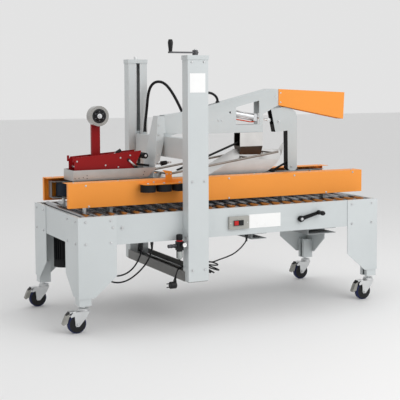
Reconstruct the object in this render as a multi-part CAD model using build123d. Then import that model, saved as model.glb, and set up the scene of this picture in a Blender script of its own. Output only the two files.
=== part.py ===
from build123d import *
from math import atan2, cos, degrees, hypot, pi, radians, sin, tan
import os

# Carton sealing machine with side belts, a height-adjusted taping head and a flap kicker.
# Millimetres, +Z up. X runs along the conveyor: cartons come in at +X and leave at -X.
# Y runs across it, and the operator stands on the -Y side. Z is 0 on the floor.
# While the pieces are drawn, X and Y are 0 at the centre of the roller table.

# Roller table
TABLE_LENGTH = 1770.0
TABLE_WIDTH = 728.0
TABLE_TOP = 572.0
PANEL_HEIGHT = 145.0
PANEL_SHEET = 3.0
PANEL_TOP_LIP = 16.0
PANEL_BOTTOM_LIP = 30.0
LEG_SHEET = 4.0
LEG_WIDTH = 200.0
LEG_FOOT_WIDTH = 82.0
LEG_BOTTOM = 172.0
LEG_TAPER_START = 273.0
FOOT_SIZE = 62.0
FOOT_TOP = 250.0
FOOT_BOTTOM = 135.0
FOOT_SLOT = 18.0
FOOT_BASE = 5.0
ROLLER_COUNT = 25
ROLLER_PITCH = 68.0
ROLLER_RADIUS = 19.0
ROLLER_RISE = 6.0
ROLLER_END_GAP = 18.0
AXLE_RADIUS = 5.5
CROSS_MEMBERS = [(80.0, 90.0), (430.0, 180.0)]
CROSS_MEMBER_DROP = 30.0

# Lift columns, their screws and the chain that joins the screws
COLUMN_X = -265.5
COLUMN_WIDTH = 114.0
COLUMN_DEPTH = 65.0
COLUMN_SHEET = 3.0
COLUMN_BOTTOM = 217.0
COLUMN_TOP = 1356.0
COLUMN_SLOT = 25.0
CAP_SHEET = 4.0
CAP_SKIRT = 18.0
SCREW_RADIUS = 10.0
SCREW_TOP = 1376.0
SPROCKET_RADIUS = 21.0
SPROCKET_WIDTH = 8.0
SPROCKET_Z = 240.0
CHAIN_THICKNESS = 6.0
CHAIN_GAP = 0.4
TRAY_SHEET = 3.0
TRAY_HEIGHT = 51.0
TRAY_OVERLAP = 20.0
BUSH_RADIUS = 16.0
BUSH_HEIGHT = 14.0
RUNNING_GAP = 0.5

# Cranks
CRANK_ARM = 136.0
CRANK_HUB_RADIUS = 14.0
CRANK_HUB_LENGTH = 24.0
CRANK_BOSS = 3.0
CRANK_GAP = 2.0
CRANK_ARM_SHEET = 8.0
CRANK_ARM_WIDTH = 22.0
CRANK_GRIP_RADIUS = 12.5
CRANK_GRIP_LENGTH = 60.0
WIDTH_CRANK_ARM = 117.0
WIDTH_CRANK_ANGLE = 14.0
WIDTH_GRIP_LENGTH = 48.0

# Side belt units and their slides
SHAFT_Z = 490.0
WIDTH_SCREW_GAP = 5.5
GUIDE_SHAFT_GAP = 9.5
SHAFT_RADIUS = 12.0
WIDTH_SCREW_RADIUS = 10.0
BELT_SPACING = 256.0
BELT_THICKNESS = 4.0
BELT_BOTTOM = 625.0
BELT_HEIGHT = 70.0
BELT_GAP = 0.4
PULLEY_RADIUS = 36.0
DRIVE_PULLEY_GAP = 11.5
BED_SHEET = 4.0
BED_CLEARANCE = 6.0
BED_OVERHANG = 68.0
SLIDE_BED_HALF = 22.0
GUARD_LENGTH = 1764.0
GUARD_OUTER = 215.0
GUARD_BOTTOM = 600.0
GUARD_TOP = 724.0
GUARD_SHEET = 2.0
GUARD_TOP_FLANGE = 85.0
GUARD_BOTTOM_LIP = 20.0
GUARD_END_RETURN = 25.0
POST_WIDTH = 16.0
POST_DEPTH = 40.0
SLIDE_BLOCK = 46.0
MOTOR_RADIUS = 56.0
MOTOR_BOTTOM = 243.0
MOTOR_HEIGHT = 172.0
TERMINAL_REACH = 26.0
MOTOR_FINS = 24
MOTOR_FIN_DEPTH = 6.0
TERMINAL_HALF = 27.0
GEARBOX_SIZE = 92.0
GEARBOX_HEIGHT = 70.0
DRIVE_TUBE_RADIUS = 10.0

# Press wheels beside the belt units
PRESS_WHEEL_RADIUS = 40.0
PRESS_WHEEL_HEIGHT = 35.0
PRESS_WHEEL_PITCH = 89.0
PRESS_WHEEL_COUNT = 3
PRESS_FIRST_X = -471.0
PRESS_PLATE_Z = 705.0
PRESS_PLATE_SHEET = 3.0
PRESS_PLATE_REACH = 70.0
PRESS_WHEEL_CLEARANCE = 5.0
PRESS_STRAP_TOP = 774.0
PRESS_STRAP_WIDTH = 36.0
PRESS_STRAP_X = -336.0

# Head: cross beam, main beam and what hangs on it
CROSS_BEAM_WIDTH = 44.0
CROSS_BEAM_BOTTOM = 830.0
CROSS_BEAM_TOP = 937.0
CROSS_BEAM_WALL = 4.0
CROSS_BEAM_END_GAP = 15.0
TONGUE_WIDTH = 15.0
CARRIAGE_GAP = 5.0
CARRIAGE_EXTRA = 15.0
SCREW_NUT_GAP = 2.0
BEAM_HALF = 32.0
BEAM_SHEET = 3.0
BEAM_LEFT = -275.0
BEAM_LEFT_BOTTOM = 954.0
BEAM_LEFT_TOP = 1051.0
BEAM_KNEE_X = -150.0
BEAM_KNEE_Z = 1064.0
BEAM_PEAK_X = 377.0
BEAM_PEAK_Z = 1190.0
BEAM_TIP_X = 435.0
BEAM_TIP_Z = 1188.0
BEAM_TIP_BOTTOM = 1096.0
BEAM_NOTCH_X = 335.0
BEAM_NOTCH_Z = 1047.0
BEAM_BOTTOM = 946.0
BEAM_TONGUE = 25.0
WINDOW_LEFT = 163.0
WINDOW_RIGHT = 310.0
WINDOW_BOTTOM = 990.0
WINDOW_DROP = 25.0
WEDGE_LENGTH = 449.0
WEDGE_END_TOP = 1167.0
WEDGE_END_BOTTOM = 1011.0
WEDGE_SHEET = 3.0

# Flap kicker, its hanger and its air cylinder
KICKER_X = 442.0
KICKER_Z = 1004.0
KICKER_HALF = 23.0
KICKER_SHEET = 3.0
KICKER_LEG_LEFT = 505.0
KICKER_LEG_RIGHT = 567.0
KICKER_LEG_BOTTOM = 718.0
KICKER_PIN_RADIUS = 8.0
KICKER_EAR_REACH = 54.0
KICKER_HEAD_LEFT = 50.0
KICKER_HEAD_TOP = 73.0
KICKER_HEAD_BOTTOM = 60.0
KICKER_HEAD_LEAN = 29.0
KICKER_SLOT_HALF = 14.0
KICKER_SLOT_BOTTOM = 16.0
KICKER_EAR_RISE = 8.0
HANGER_HALF = 14.0
HANGER_HALF_WIDTH = 22.0
CYLINDER_PIVOT_X = 125.0
CYLINDER_PIVOT_Z = 1060.0
CYLINDER_RADIUS = 20.0
CYLINDER_LENGTH = 168.0
CYLINDER_START = 16.0
CYLINDER_PIN_RADIUS = 5.0
ROD_RADIUS = 6.0
ROD_EYE_RADIUS = 11.0
KICK_ANGLE = 85.0

# Plough and its bracket
PLOUGH_HALF = 42.0
PLOUGH_LEFT = -335.0
PLOUGH_BOTTOM = 715.0
PLOUGH_FLAT_END = 341.0
PLOUGH_TIP_X = 487.0
PLOUGH_TIP_Z = 880.0
PLOUGH_CREST_X = 159.0
PLOUGH_CREST_Z = 854.0
PLOUGH_SHOULDER_X = 5.0
PLOUGH_SHOULDER_Z = 775.0
PLOUGH_LEFT_TOP = 736.0
PLOUGH_NOSE_TOP = 844.0
PLOUGH_ROOF_DROP = 56.0
PLOUGH_RAKE = 19.0
BRACKET_LEFT = 185.0
BRACKET_RIGHT = 330.0
BRACKET_HALF = 36.0
BRACKET_SHEET = 3.0
BRACKET_DEPTH = 78.0
BRACKET_NECK_DEPTH = 80.0
BRACKET_NECK_HALF = 13.0
FLAP_ROD_RADIUS = 6.0
FLAP_ROD_Y = 130.0
FLAP_ROD_LEFT = 40.0
FLAP_ROD_RIGHT = 112.0
FLAP_ROD_LOW = 28.0
FLAP_ROD_HIGH = 124.0
STAY_LEFT = 190.0
STAY_LOW = 748.0
STAY_HIGH = 890.0

# Taping unit, its channel, hanger and reel
CHANNEL_LEFT = -808.0
CHANNEL_RIGHT = -345.0
CHANNEL_HALF = 78.0
CHANNEL_BOTTOM = 722.0
CHANNEL_TOP = 777.0
CHANNEL_SHEET = 2.0
CHANNEL_END_CUT = 60.0
HANGER_PLATE_SHEET = 4.0
HANGER_TOP_HALF = 30.0
HANGER_TOP_X = -314.0
HANGER_BOTTOM_X = -354.0
HANGER_TOP_Z = 1047.0
HANGER_NECK = 13.0
HANGER_SIDE_WIDTH = 30.0
TAPE_LEFT = -791.0
TAPE_RIGHT = -418.0
TAPE_HALF = 48.0
TAPE_SHEET = 3.0
TAPE_LEFT_TOP = 842.0
TAPE_RIGHT_TOP = 867.0
REEL_X = -652.0
REEL_Z = 1053.0
REEL_RADIUS = 53.0
REEL_CORE_RADIUS = 38.0
REEL_WIDTH = 48.0
REEL_FRONT = -46.0
REEL_SHAFT_RADIUS = 8.0
REEL_ARM_WIDTH = 46.0
REEL_ARM_FRONT = 8.0
REEL_ARM_DEPTH = 20.0
REEL_ARM_BOTTOM = 800.0
REEL_ARM_TOP = 1072.0
ROLLER_CLEARANCE = 4.0
FRONT_ROLLER_X = -395.0
FRONT_ROLLER_Z = 838.0
FRONT_ROLLER_RADIUS = 16.0
FRONT_ARM_HALF = 4.0
TAPE_ROLLERS = [
    (-455.0, 742.0, 24.0),
    (-735.0, 742.0, 21.0),
    (-500.0, 800.0, 10.0),
    (-620.0, 790.0, 8.0),
]

# Casters
CASTER_INSET_X = 35.0
CASTER_INSET_Y = 35.0
CASTER_TRAIL = 37.0
PEDAL_REACH = 74.0
WHEEL_RADIUS = 47.0
WHEEL_WIDTH = 30.0
WHEEL_AXLE_RADIUS = 6.0
FORK_GAP = 4.0
FORK_SHEET = 3.0
FORK_TOP = 108.0
CASTER_HEAD_RADIUS = 26.0
CASTER_STEM_RADIUS = 7.0

# Travel of the adjustments
HEAD_TRAVEL = 355.0
BELTS_IN = 43.0
BELTS_OUT = 52.0

# Electrical and air fittings
SWITCH_LEFT = -63.0
SWITCH_WIDTH = 118.0
SWITCH_BOTTOM = 460.0
SWITCH_HEIGHT = 67.0
SWITCH_DEPTH = 14.0
REGULATOR_GAP = 22.0
REGULATOR_SIZE = 34.0
REGULATOR_BOTTOM = 382.0
REGULATOR_HEIGHT = 45.0
REGULATOR_OFFSET = 7.5
BOWL_RADIUS = 14.0
BOWL_LENGTH = 46.0
KNOB_RADIUS = 15.0
KNOB_HEIGHT = 34.0

# Free cords and hoses
CORD_DIAMETER = 7.0
MOTOR_CABLE_DIAMETER = 8.0
HOSE_DIAMETER = 16.0
AIR_TUBE_DIAMETER = 14.0
HOSE_GLAND_RADIUS = 11.0
AIR_FITTING_RADIUS = 9.5
DRAWN_PANEL_OUTER = 360.0
BEND_SHARE = 0.45

# Places that follow from the sizes above
HALF_LENGTH = TABLE_LENGTH / 2
HALF_WIDTH = TABLE_WIDTH / 2
PANEL_OUTER = HALF_WIDTH - LEG_SHEET
PANEL_INNER = PANEL_OUTER - PANEL_SHEET
PANEL_BOTTOM = TABLE_TOP - PANEL_HEIGHT
END_OUTER = HALF_LENGTH - LEG_SHEET
ROLLER_Z = TABLE_TOP + ROLLER_RISE - ROLLER_RADIUS
COLUMN_OUTER = PANEL_OUTER + COLUMN_DEPTH
SCREW_Y = PANEL_OUTER + COLUMN_DEPTH / 2
TRAY_BOTTOM = COLUMN_BOTTOM - TRAY_SHEET
TRAY_HALF_WIDTH = COLUMN_WIDTH / 2 + TRAY_SHEET
BELT_INNER = BELT_SPACING / 2
PULLEY_Y = BELT_INNER + BELT_THICKNESS + PULLEY_RADIUS
DRIVE_X = -DRIVE_PULLEY_GAP * ROLLER_PITCH
IDLER_X = DRIVE_PULLEY_GAP * ROLLER_PITCH
BELT_TOP = BELT_BOTTOM + BELT_HEIGHT
BED_TOP = BELT_TOP + BED_CLEARANCE
BED_BOTTOM = BELT_BOTTOM - BED_CLEARANCE
WIDTH_SCREW_X = WIDTH_SCREW_GAP * ROLLER_PITCH
GUIDE_X = GUIDE_SHAFT_GAP * ROLLER_PITCH
WEDGE_RIGHT = BEAM_TIP_X + WEDGE_LENGTH
ROD_PIN_X = KICKER_X - KICKER_EAR_REACH
ROD_PIN_Z = KICKER_Z + KICKER_EAR_RISE
CASTER_X = HALF_LENGTH - CASTER_INSET_X
CASTER_Y = HALF_WIDTH - CASTER_INSET_Y
REGULATOR_Y = -SCREW_Y - REGULATOR_OFFSET
HANGER_WIDE_Z = CHANNEL_TOP + HANGER_NECK
BRACKET_SHOULDER = BEAM_BOTTOM - BRACKET_DEPTH
PRESS_WHEEL_Y = GUARD_OUTER + PRESS_WHEEL_CLEARANCE + PRESS_WHEEL_RADIUS
CROSS_BEAM_LEFT = COLUMN_X - CROSS_BEAM_WIDTH / 2
# The outline runs from the pedals of the left casters to the legs at the right
OUTLINE_LEFT = -CASTER_X - CASTER_TRAIL - PEDAL_REACH
OUTLINE_MIDDLE = (OUTLINE_LEFT + HALF_LENGTH) / 2


# Basic shapes
def box(x0, x1, y0, y1, z0, z1):
    middle = Pos((x0 + x1) / 2, (y0 + y1) / 2, (z0 + z1) / 2)
    return middle * Box(abs(x1 - x0), abs(y1 - y0), abs(z1 - z0))


def rod_x(x0, x1, y, z, radius):
    return Pos((x0 + x1) / 2, y, z) * Rot(0, 90, 0) * Cylinder(radius, abs(x1 - x0))


def rod_y(x, y0, y1, z, radius):
    return Pos(x, (y0 + y1) / 2, z) * Rot(90, 0, 0) * Cylinder(radius, abs(y1 - y0))


def rod_z(x, y, z0, z1, radius):
    return Pos(x, y, (z0 + z1) / 2) * Cylinder(radius, abs(z1 - z0))


def rod_between(start, end, radius):
    path = Line(start, end)
    return Solid.make_cylinder(radius, path.length, Plane(origin=start, z_dir=path % 0))


def plate_xz(points, y0, y1):
    outline = make_face(Polyline(*points, close=True))
    return extrude(Plane.XZ.offset(-max(y0, y1)) * outline, abs(y1 - y0))


def plate_yz(points, x0, x1):
    outline = make_face(Polyline(*points, close=True))
    return extrude(Plane.YZ.offset(min(x0, x1)) * outline, abs(x1 - x0))


def plate_xy(points, z0, z1):
    outline = make_face(Polyline(*points, close=True))
    return extrude(Plane.XY.offset(min(z0, z1)) * outline, abs(z1 - z0))


def flip_y(shape):
    return mirror(shape, Plane.XZ)


def flip_x(shape):
    return mirror(shape, Plane.YZ)


def both_sides(shape):
    return Compound([shape, flip_y(shape)])


# Roller table
def channel_points(outer, inward, bottom, top, bottom_lip, top_lip, sheet):
    lip_top = outer + inward * top_lip
    lip_bottom = outer + inward * bottom_lip
    inner = outer + inward * sheet
    return [
        (outer, bottom),
        (outer, top),
        (lip_top, top),
        (lip_top, top - sheet),
        (inner, top - sheet),
        (inner, bottom + sheet),
        (lip_bottom, bottom + sheet),
        (lip_bottom, bottom),
    ]


def side_panel(front):
    points = channel_points(
        -PANEL_OUTER, 1, PANEL_BOTTOM, TABLE_TOP, PANEL_BOTTOM_LIP, PANEL_TOP_LIP, PANEL_SHEET
    )
    half = END_OUTER - PANEL_SHEET
    panel = plate_yz(points, -half, half)
    if front:
        hole = WIDTH_SCREW_RADIUS + RUNNING_GAP
        panel -= rod_y(WIDTH_SCREW_X, -PANEL_OUTER - 1, -PANEL_INNER + 1, SHAFT_Z, hole)
        return panel
    return flip_y(panel)


def end_panel():
    points = channel_points(
        -END_OUTER, 1, PANEL_BOTTOM, TABLE_TOP, PANEL_BOTTOM_LIP, PANEL_TOP_LIP, PANEL_SHEET
    )
    inner = PANEL_OUTER
    panel = plate_xz(points, -inner, inner)
    corner = box(
        -END_OUTER + PANEL_SHEET,
        -END_OUTER + PANEL_BOTTOM_LIP + 1,
        inner - PANEL_BOTTOM_LIP,
        inner + 1,
        PANEL_BOTTOM - 1,
        TABLE_TOP + 1,
    )
    return panel - corner - flip_y(corner)


def leg():
    slope = [
        (LEG_WIDTH, TABLE_TOP),
        (LEG_WIDTH, LEG_TAPER_START),
        (LEG_FOOT_WIDTH, LEG_BOTTOM),
        (0, LEG_BOTTOM),
    ]
    front = [(-HALF_LENGTH + u, z) for u, z in slope] + [(-HALF_LENGTH, TABLE_TOP)]
    side = [(-HALF_WIDTH + u, z) for u, z in slope] + [(-HALF_WIDTH, TABLE_TOP)]
    angle = plate_xz(front, -HALF_WIDTH, -PANEL_OUTER)
    angle += plate_yz(side, -HALF_LENGTH, -END_OUTER)
    return angle + foot()


def foot():
    x0 = -END_OUTER
    y0 = -PANEL_OUTER
    x1 = x0 + FOOT_SIZE
    y1 = y0 + FOOT_SIZE
    tube = box(x0, x1, y0, y1, FOOT_BOTTOM, FOOT_TOP)
    hollow_bottom = FOOT_BOTTOM + FOOT_BASE
    sheet = LEG_SHEET
    tube -= box(x0 + sheet, x1 - sheet, y0 + sheet, y1 - sheet, hollow_bottom, FOOT_TOP + 1)
    middle = (y0 + y1) / 2
    slot = FOOT_SLOT / 2
    tube -= box(x1 - sheet - 1, x1 + 1, middle - slot, middle + slot, hollow_bottom, FOOT_TOP + 1)
    return tube


def four_corners(shape):
    rear = flip_y(shape)
    return Compound([shape, rear, flip_x(shape), flip_x(rear)])


def table_rollers():
    rollers = []
    half = PANEL_INNER - ROLLER_END_GAP
    for number in range(ROLLER_COUNT):
        x = (number - (ROLLER_COUNT - 1) / 2) * ROLLER_PITCH
        axle = Pos(x, 0, ROLLER_Z) * Rot(90, 0, 0) * extrude(
            RegularPolygon(AXLE_RADIUS, 6), PANEL_INNER, both=True
        )
        rollers.append(axle + rod_y(x, -half, half, ROLLER_Z, ROLLER_RADIUS))
    return Compound(rollers)


def cross_members():
    members = []
    for left, width in CROSS_MEMBERS:
        points = channel_points(
            left, 1, PANEL_BOTTOM - CROSS_MEMBER_DROP, PANEL_BOTTOM, width, width, PANEL_SHEET
        )
        members.append(plate_xz(points, -PANEL_INNER, PANEL_INNER))
    return Compound(members)


def guide_shafts():
    return Compound(
        [rod_y(x, -PANEL_INNER, PANEL_INNER, SHAFT_Z, SHAFT_RADIUS) for x in (-GUIDE_X, GUIDE_X)]
    )


# Lift columns
def column():
    half = COLUMN_WIDTH / 2
    x0 = COLUMN_X - half
    x1 = COLUMN_X + half
    post = box(x0, x1, -COLUMN_OUTER, -PANEL_OUTER, COLUMN_BOTTOM, COLUMN_TOP)
    post -= box(
        x0 + COLUMN_SHEET,
        x1 - COLUMN_SHEET,
        -COLUMN_OUTER + COLUMN_SHEET,
        -PANEL_OUTER - COLUMN_SHEET,
        COLUMN_BOTTOM - 1,
        COLUMN_TOP + 1,
    )
    slot = COLUMN_SLOT / 2
    inner_face = (-PANEL_OUTER - COLUMN_SHEET - 1, -PANEL_OUTER + 1)
    post -= box(COLUMN_X - slot, COLUMN_X + slot, *inner_face, COLUMN_BOTTOM - 1, COLUMN_TOP + 1)
    chain_half = SPROCKET_RADIUS + CHAIN_THICKNESS + CHAIN_GAP + COLUMN_SHEET
    notch_top = SPROCKET_Z + SPROCKET_WIDTH + COLUMN_SHEET
    post -= box(
        COLUMN_X - chain_half, COLUMN_X + chain_half, *inner_face, COLUMN_BOTTOM - 1, notch_top
    )
    return post


def column_cap():
    half = COLUMN_WIDTH / 2 + CAP_SHEET
    top = COLUMN_TOP + CAP_SHEET
    outer = -COLUMN_OUTER - CAP_SHEET
    inner = -PANEL_OUTER + CAP_SHEET
    cap = box(COLUMN_X - half, COLUMN_X + half, outer, inner, COLUMN_TOP - CAP_SKIRT, top)
    cap = fillet(cap.edges().filter_by(Axis.Z), CAP_SHEET)
    cap -= box(
        COLUMN_X - half + CAP_SHEET,
        COLUMN_X + half - CAP_SHEET,
        outer + CAP_SHEET,
        inner - CAP_SHEET,
        COLUMN_TOP - CAP_SKIRT - 1,
        COLUMN_TOP,
    )
    hole = SCREW_RADIUS + RUNNING_GAP
    return cap - rod_z(COLUMN_X, -SCREW_Y, COLUMN_TOP - 1, top + 1, hole)


def chain_tray():
    half = PANEL_OUTER + TRAY_OVERLAP
    points = channel_points(0, 1, -TRAY_HALF_WIDTH, TRAY_HALF_WIDTH, TRAY_HEIGHT, TRAY_HEIGHT, TRAY_SHEET)
    points = [(COLUMN_X + across, TRAY_BOTTOM + up) for up, across in points]
    tray = plate_xz(points, -half, half)
    screw_end = COLUMN_OUTER - COLUMN_SHEET
    inner_half = COLUMN_WIDTH / 2 - COLUMN_SHEET
    for side in (-1, 1):
        tray += box(
            COLUMN_X - inner_half,
            COLUMN_X + inner_half,
            side * (half - 1),
            side * screw_end,
            TRAY_BOTTOM,
            COLUMN_BOTTOM,
        )
        y = side * SCREW_Y
        tray += rod_z(COLUMN_X, y, TRAY_BOTTOM, COLUMN_BOTTOM + BUSH_HEIGHT, BUSH_RADIUS)
        hole = SCREW_RADIUS + RUNNING_GAP
        tray -= rod_z(COLUMN_X, y, COLUMN_BOTTOM, COLUMN_BOTTOM + BUSH_HEIGHT + 1, hole)
    return tray


def lift_chain():
    inner = SPROCKET_RADIUS + CHAIN_GAP
    outer = inner + CHAIN_THICKNESS
    low = SPROCKET_Z
    high = SPROCKET_Z + SPROCKET_WIDTH
    loop = box(COLUMN_X - outer, COLUMN_X + outer, -SCREW_Y, SCREW_Y, low, high)
    core = box(COLUMN_X - inner, COLUMN_X + inner, -SCREW_Y, SCREW_Y, low - 1, high + 1)
    for y in (-SCREW_Y, SCREW_Y):
        loop += rod_z(COLUMN_X, y, low, high, outer)
        core += rod_z(COLUMN_X, y, low - 1, high + 1, inner)
    return loop - core


def lift_screw(side, top):
    y = side * SCREW_Y
    screw = rod_z(COLUMN_X, y, COLUMN_BOTTOM, top, SCREW_RADIUS)
    return screw + rod_z(COLUMN_X, y, SPROCKET_Z, SPROCKET_Z + SPROCKET_WIDTH, SPROCKET_RADIUS)


def crank_arm(length):
    """Flat tapered arm along +X from a hub at the origin, with its underside at Z 0."""
    half = CRANK_ARM_WIDTH / 2
    thin = half * 0.7
    arm = plate_xy([(0, -half), (length, -thin), (length, thin), (0, half)], 0, CRANK_ARM_SHEET)
    arm += rod_z(0, 0, 0, CRANK_ARM_SHEET, CRANK_HUB_RADIUS + CRANK_BOSS)
    return arm + rod_z(length, 0, 0, CRANK_ARM_SHEET, CRANK_GRIP_RADIUS)


def crank_grip(length):
    """Turned grip standing on Z 0, thickest below its rounded top."""
    slim = CRANK_GRIP_RADIUS * 0.7
    wide = CRANK_GRIP_RADIUS
    outline = Polyline((0, 0), (slim, 0), (wide, length * 0.6))
    outline += ThreePointArc((wide, length * 0.6), (wide * 0.9, length * 0.9), (slim, length))
    outline += Polyline((slim, length), (0, length), (0, 0))
    return revolve(Plane.XZ * make_face(outline), Axis.Z)


def crank(arm_length, grip_length):
    """Crank on a hub that stands on Z 0, with its arm along +X."""
    arm_z = (CRANK_HUB_LENGTH - CRANK_ARM_SHEET) / 2
    handle = rod_z(0, 0, 0, CRANK_HUB_LENGTH, CRANK_HUB_RADIUS)
    handle += Pos(0, 0, arm_z) * crank_arm(arm_length)
    return handle + Pos(arm_length, 0, arm_z + CRANK_ARM_SHEET) * crank_grip(grip_length)


def lift_crank():
    base = COLUMN_TOP + CAP_SHEET + CRANK_GAP
    handle = crank(CRANK_ARM, CRANK_GRIP_LENGTH)
    handle += rod_z(0, 0, COLUMN_BOTTOM - base, 0, SCREW_RADIUS)
    sprocket = SPROCKET_Z - base
    handle += rod_z(0, 0, sprocket, sprocket + SPROCKET_WIDTH, SPROCKET_RADIUS)
    return Pos(COLUMN_X, -SCREW_Y, base) * Rot(0, 0, 180) * handle


def width_crank():
    handle = crank(WIDTH_CRANK_ARM, WIDTH_GRIP_LENGTH)
    far_end = -PANEL_OUTER - CRANK_GAP - PANEL_INNER
    handle += rod_z(0, 0, far_end, 0, WIDTH_SCREW_RADIUS)
    turned = Rot(90, 0, 0) * Rot(0, 0, WIDTH_CRANK_ANGLE) * handle
    return Pos(WIDTH_SCREW_X, -PANEL_OUTER - CRANK_GAP, SHAFT_Z) * turned


# Side belt units, drawn for the front one
def guard():
    half = GUARD_LENGTH / 2
    points = channel_points(
        -GUARD_OUTER, 1, GUARD_BOTTOM, GUARD_TOP, GUARD_BOTTOM_LIP, GUARD_TOP_FLANGE, GUARD_SHEET
    )
    skin = plate_yz(points, -half, half)
    for x in (-half, half - GUARD_SHEET):
        skin += box(
            x,
            x + GUARD_SHEET,
            -GUARD_OUTER,
            -GUARD_OUTER + GUARD_END_RETURN,
            GUARD_BOTTOM,
            GUARD_TOP,
        )
    return skin


def belt_bed():
    left = DRIVE_X - BED_OVERHANG
    right = IDLER_X + BED_OVERHANG
    outer = -GUARD_OUTER + GUARD_SHEET
    inner = -BELT_INNER - BELT_THICKNESS
    bed = box(left, right, outer, inner, BED_TOP, BED_TOP + BED_SHEET)
    bed += box(left, right, outer, inner, BED_BOTTOM - BED_SHEET, BED_BOTTOM)
    reach = PULLEY_RADIUS + BED_CLEARANCE
    bed += box(
        DRIVE_X + reach,
        IDLER_X - reach,
        -PULLEY_Y - SLIDE_BED_HALF,
        -BELT_INNER - BELT_THICKNESS - BELT_GAP,
        BED_BOTTOM,
        BED_TOP,
    )
    for x in (left, right - BED_SHEET):
        bed += box(x, x + BED_SHEET, -PULLEY_Y, outer, BED_BOTTOM, BED_TOP)
    for x in (DRIVE_X, IDLER_X):
        bed -= rod_z(x, -PULLEY_Y, BED_BOTTOM - BED_SHEET - 1, BED_BOTTOM + 1, DRIVE_TUBE_RADIUS)
    bores = [(-GUIDE_X, SHAFT_RADIUS), (WIDTH_SCREW_X, WIDTH_SCREW_RADIUS), (GUIDE_X, SHAFT_RADIUS)]
    for x, radius in bores:
        bed += slide_post(x, radius)
    return bed


def slide_post(x, shaft_radius):
    half = POST_WIDTH / 2
    block = SLIDE_BLOCK / 2
    y0 = -PULLEY_Y - POST_DEPTH / 2
    y1 = -PULLEY_Y + POST_DEPTH / 2
    post = box(x - half, x + half, y0, y1, SHAFT_Z, BED_BOTTOM - BED_SHEET)
    post += box(x - block, x + block, y0, y1, SHAFT_Z - block, SHAFT_Z + block)
    return post - rod_y(x, y0 - 1, y1 + 1, SHAFT_Z, shaft_radius + RUNNING_GAP)


def drive_belt():
    inner = PULLEY_RADIUS + BELT_GAP
    outer = inner + BELT_THICKNESS - BELT_GAP
    loop = box(DRIVE_X, IDLER_X, -PULLEY_Y - outer, -PULLEY_Y + outer, BELT_BOTTOM, BELT_TOP)
    core = box(
        DRIVE_X, IDLER_X, -PULLEY_Y - inner, -PULLEY_Y + inner, BELT_BOTTOM - 1, BELT_TOP + 1
    )
    for x in (DRIVE_X, IDLER_X):
        loop += rod_z(x, -PULLEY_Y, BELT_BOTTOM, BELT_TOP, outer)
        core += rod_z(x, -PULLEY_Y, BELT_BOTTOM - 1, BELT_TOP + 1, inner)
    return loop - core


def motor_body():
    """Motor standing on its fan cover, with cooling fins along its barrel."""
    root = MOTOR_RADIUS - MOTOR_FIN_DEPTH
    points = []
    for number in range(MOTOR_FINS):
        for radius, offset in ((root, -0.3), (MOTOR_RADIUS, -0.2), (MOTOR_RADIUS, 0.2), (root, 0.3)):
            angle = 2 * pi * (number + offset) / MOTOR_FINS
            points.append((radius * cos(angle), radius * sin(angle)))
    top = MOTOR_BOTTOM + MOTOR_HEIGHT
    cover_top = MOTOR_BOTTOM + MOTOR_HEIGHT * 0.24
    body = plate_xy(points, cover_top, top - 12)
    body += rod_z(0, 0, MOTOR_BOTTOM, cover_top, MOTOR_RADIUS)
    body += rod_z(0, 0, top - 12, top, MOTOR_RADIUS)
    return Pos(DRIVE_X, -PULLEY_Y, 0) * body


def belt_drive():
    gearbox_bottom = MOTOR_BOTTOM + MOTOR_HEIGHT
    gearbox_top = gearbox_bottom + GEARBOX_HEIGHT
    half = GEARBOX_SIZE / 2
    motor = motor_body()
    motor += box(
        DRIVE_X - half, DRIVE_X + half, -PULLEY_Y - half, -PULLEY_Y + half, gearbox_bottom, gearbox_top
    )
    motor += rod_z(DRIVE_X, -PULLEY_Y, gearbox_top, BED_TOP, DRIVE_TUBE_RADIUS)
    motor += box(
        DRIVE_X + MOTOR_RADIUS - 6,
        DRIVE_X + MOTOR_RADIUS + TERMINAL_REACH,
        -PULLEY_Y - TERMINAL_HALF,
        -PULLEY_Y + TERMINAL_HALF,
        MOTOR_BOTTOM + 27,
        MOTOR_BOTTOM + 80,
    )
    motor += rod_z(DRIVE_X, -PULLEY_Y, BELT_BOTTOM, BELT_TOP, PULLEY_RADIUS)
    idler = rod_z(IDLER_X, -PULLEY_Y, BELT_BOTTOM, BELT_TOP, PULLEY_RADIUS)
    idler += rod_z(IDLER_X, -PULLEY_Y, BED_BOTTOM - BED_SHEET, BED_TOP, DRIVE_TUBE_RADIUS)
    return Compound([motor, idler])


def press_xs():
    return [PRESS_FIRST_X + number * PRESS_WHEEL_PITCH for number in range(PRESS_WHEEL_COUNT)]


def press_bracket():
    xs = press_xs()
    left = xs[0] - PRESS_WHEEL_RADIUS * 0.75
    right = xs[-1] + PRESS_WHEEL_RADIUS * 0.75
    plate = box(
        left,
        right,
        -GUARD_OUTER - PRESS_PLATE_REACH,
        -GUARD_OUTER,
        PRESS_PLATE_Z,
        PRESS_PLATE_Z + PRESS_PLATE_SHEET,
    )
    front = plate.edges().filter_by(Axis.Z).sort_by(Axis.Y)[:2]
    plate = fillet(front, PRESS_WHEEL_RADIUS * 0.6)
    half = PRESS_STRAP_WIDTH / 2
    x0 = PRESS_STRAP_X - half
    x1 = PRESS_STRAP_X + half
    plate += plate_xz(
        [
            (x0, PRESS_PLATE_Z),
            (x1, PRESS_PLATE_Z),
            (x1, PRESS_STRAP_TOP - half / 2),
            (x0 - half, PRESS_STRAP_TOP),
            (x0, PRESS_STRAP_TOP - half),
        ],
        -GUARD_OUTER - PRESS_PLATE_SHEET,
        -GUARD_OUTER,
    )
    for x in xs:
        plate += rod_z(x, -PRESS_WHEEL_Y, PRESS_PLATE_Z - PRESS_WHEEL_HEIGHT - 4, PRESS_PLATE_Z, 6)
    return plate


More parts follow.
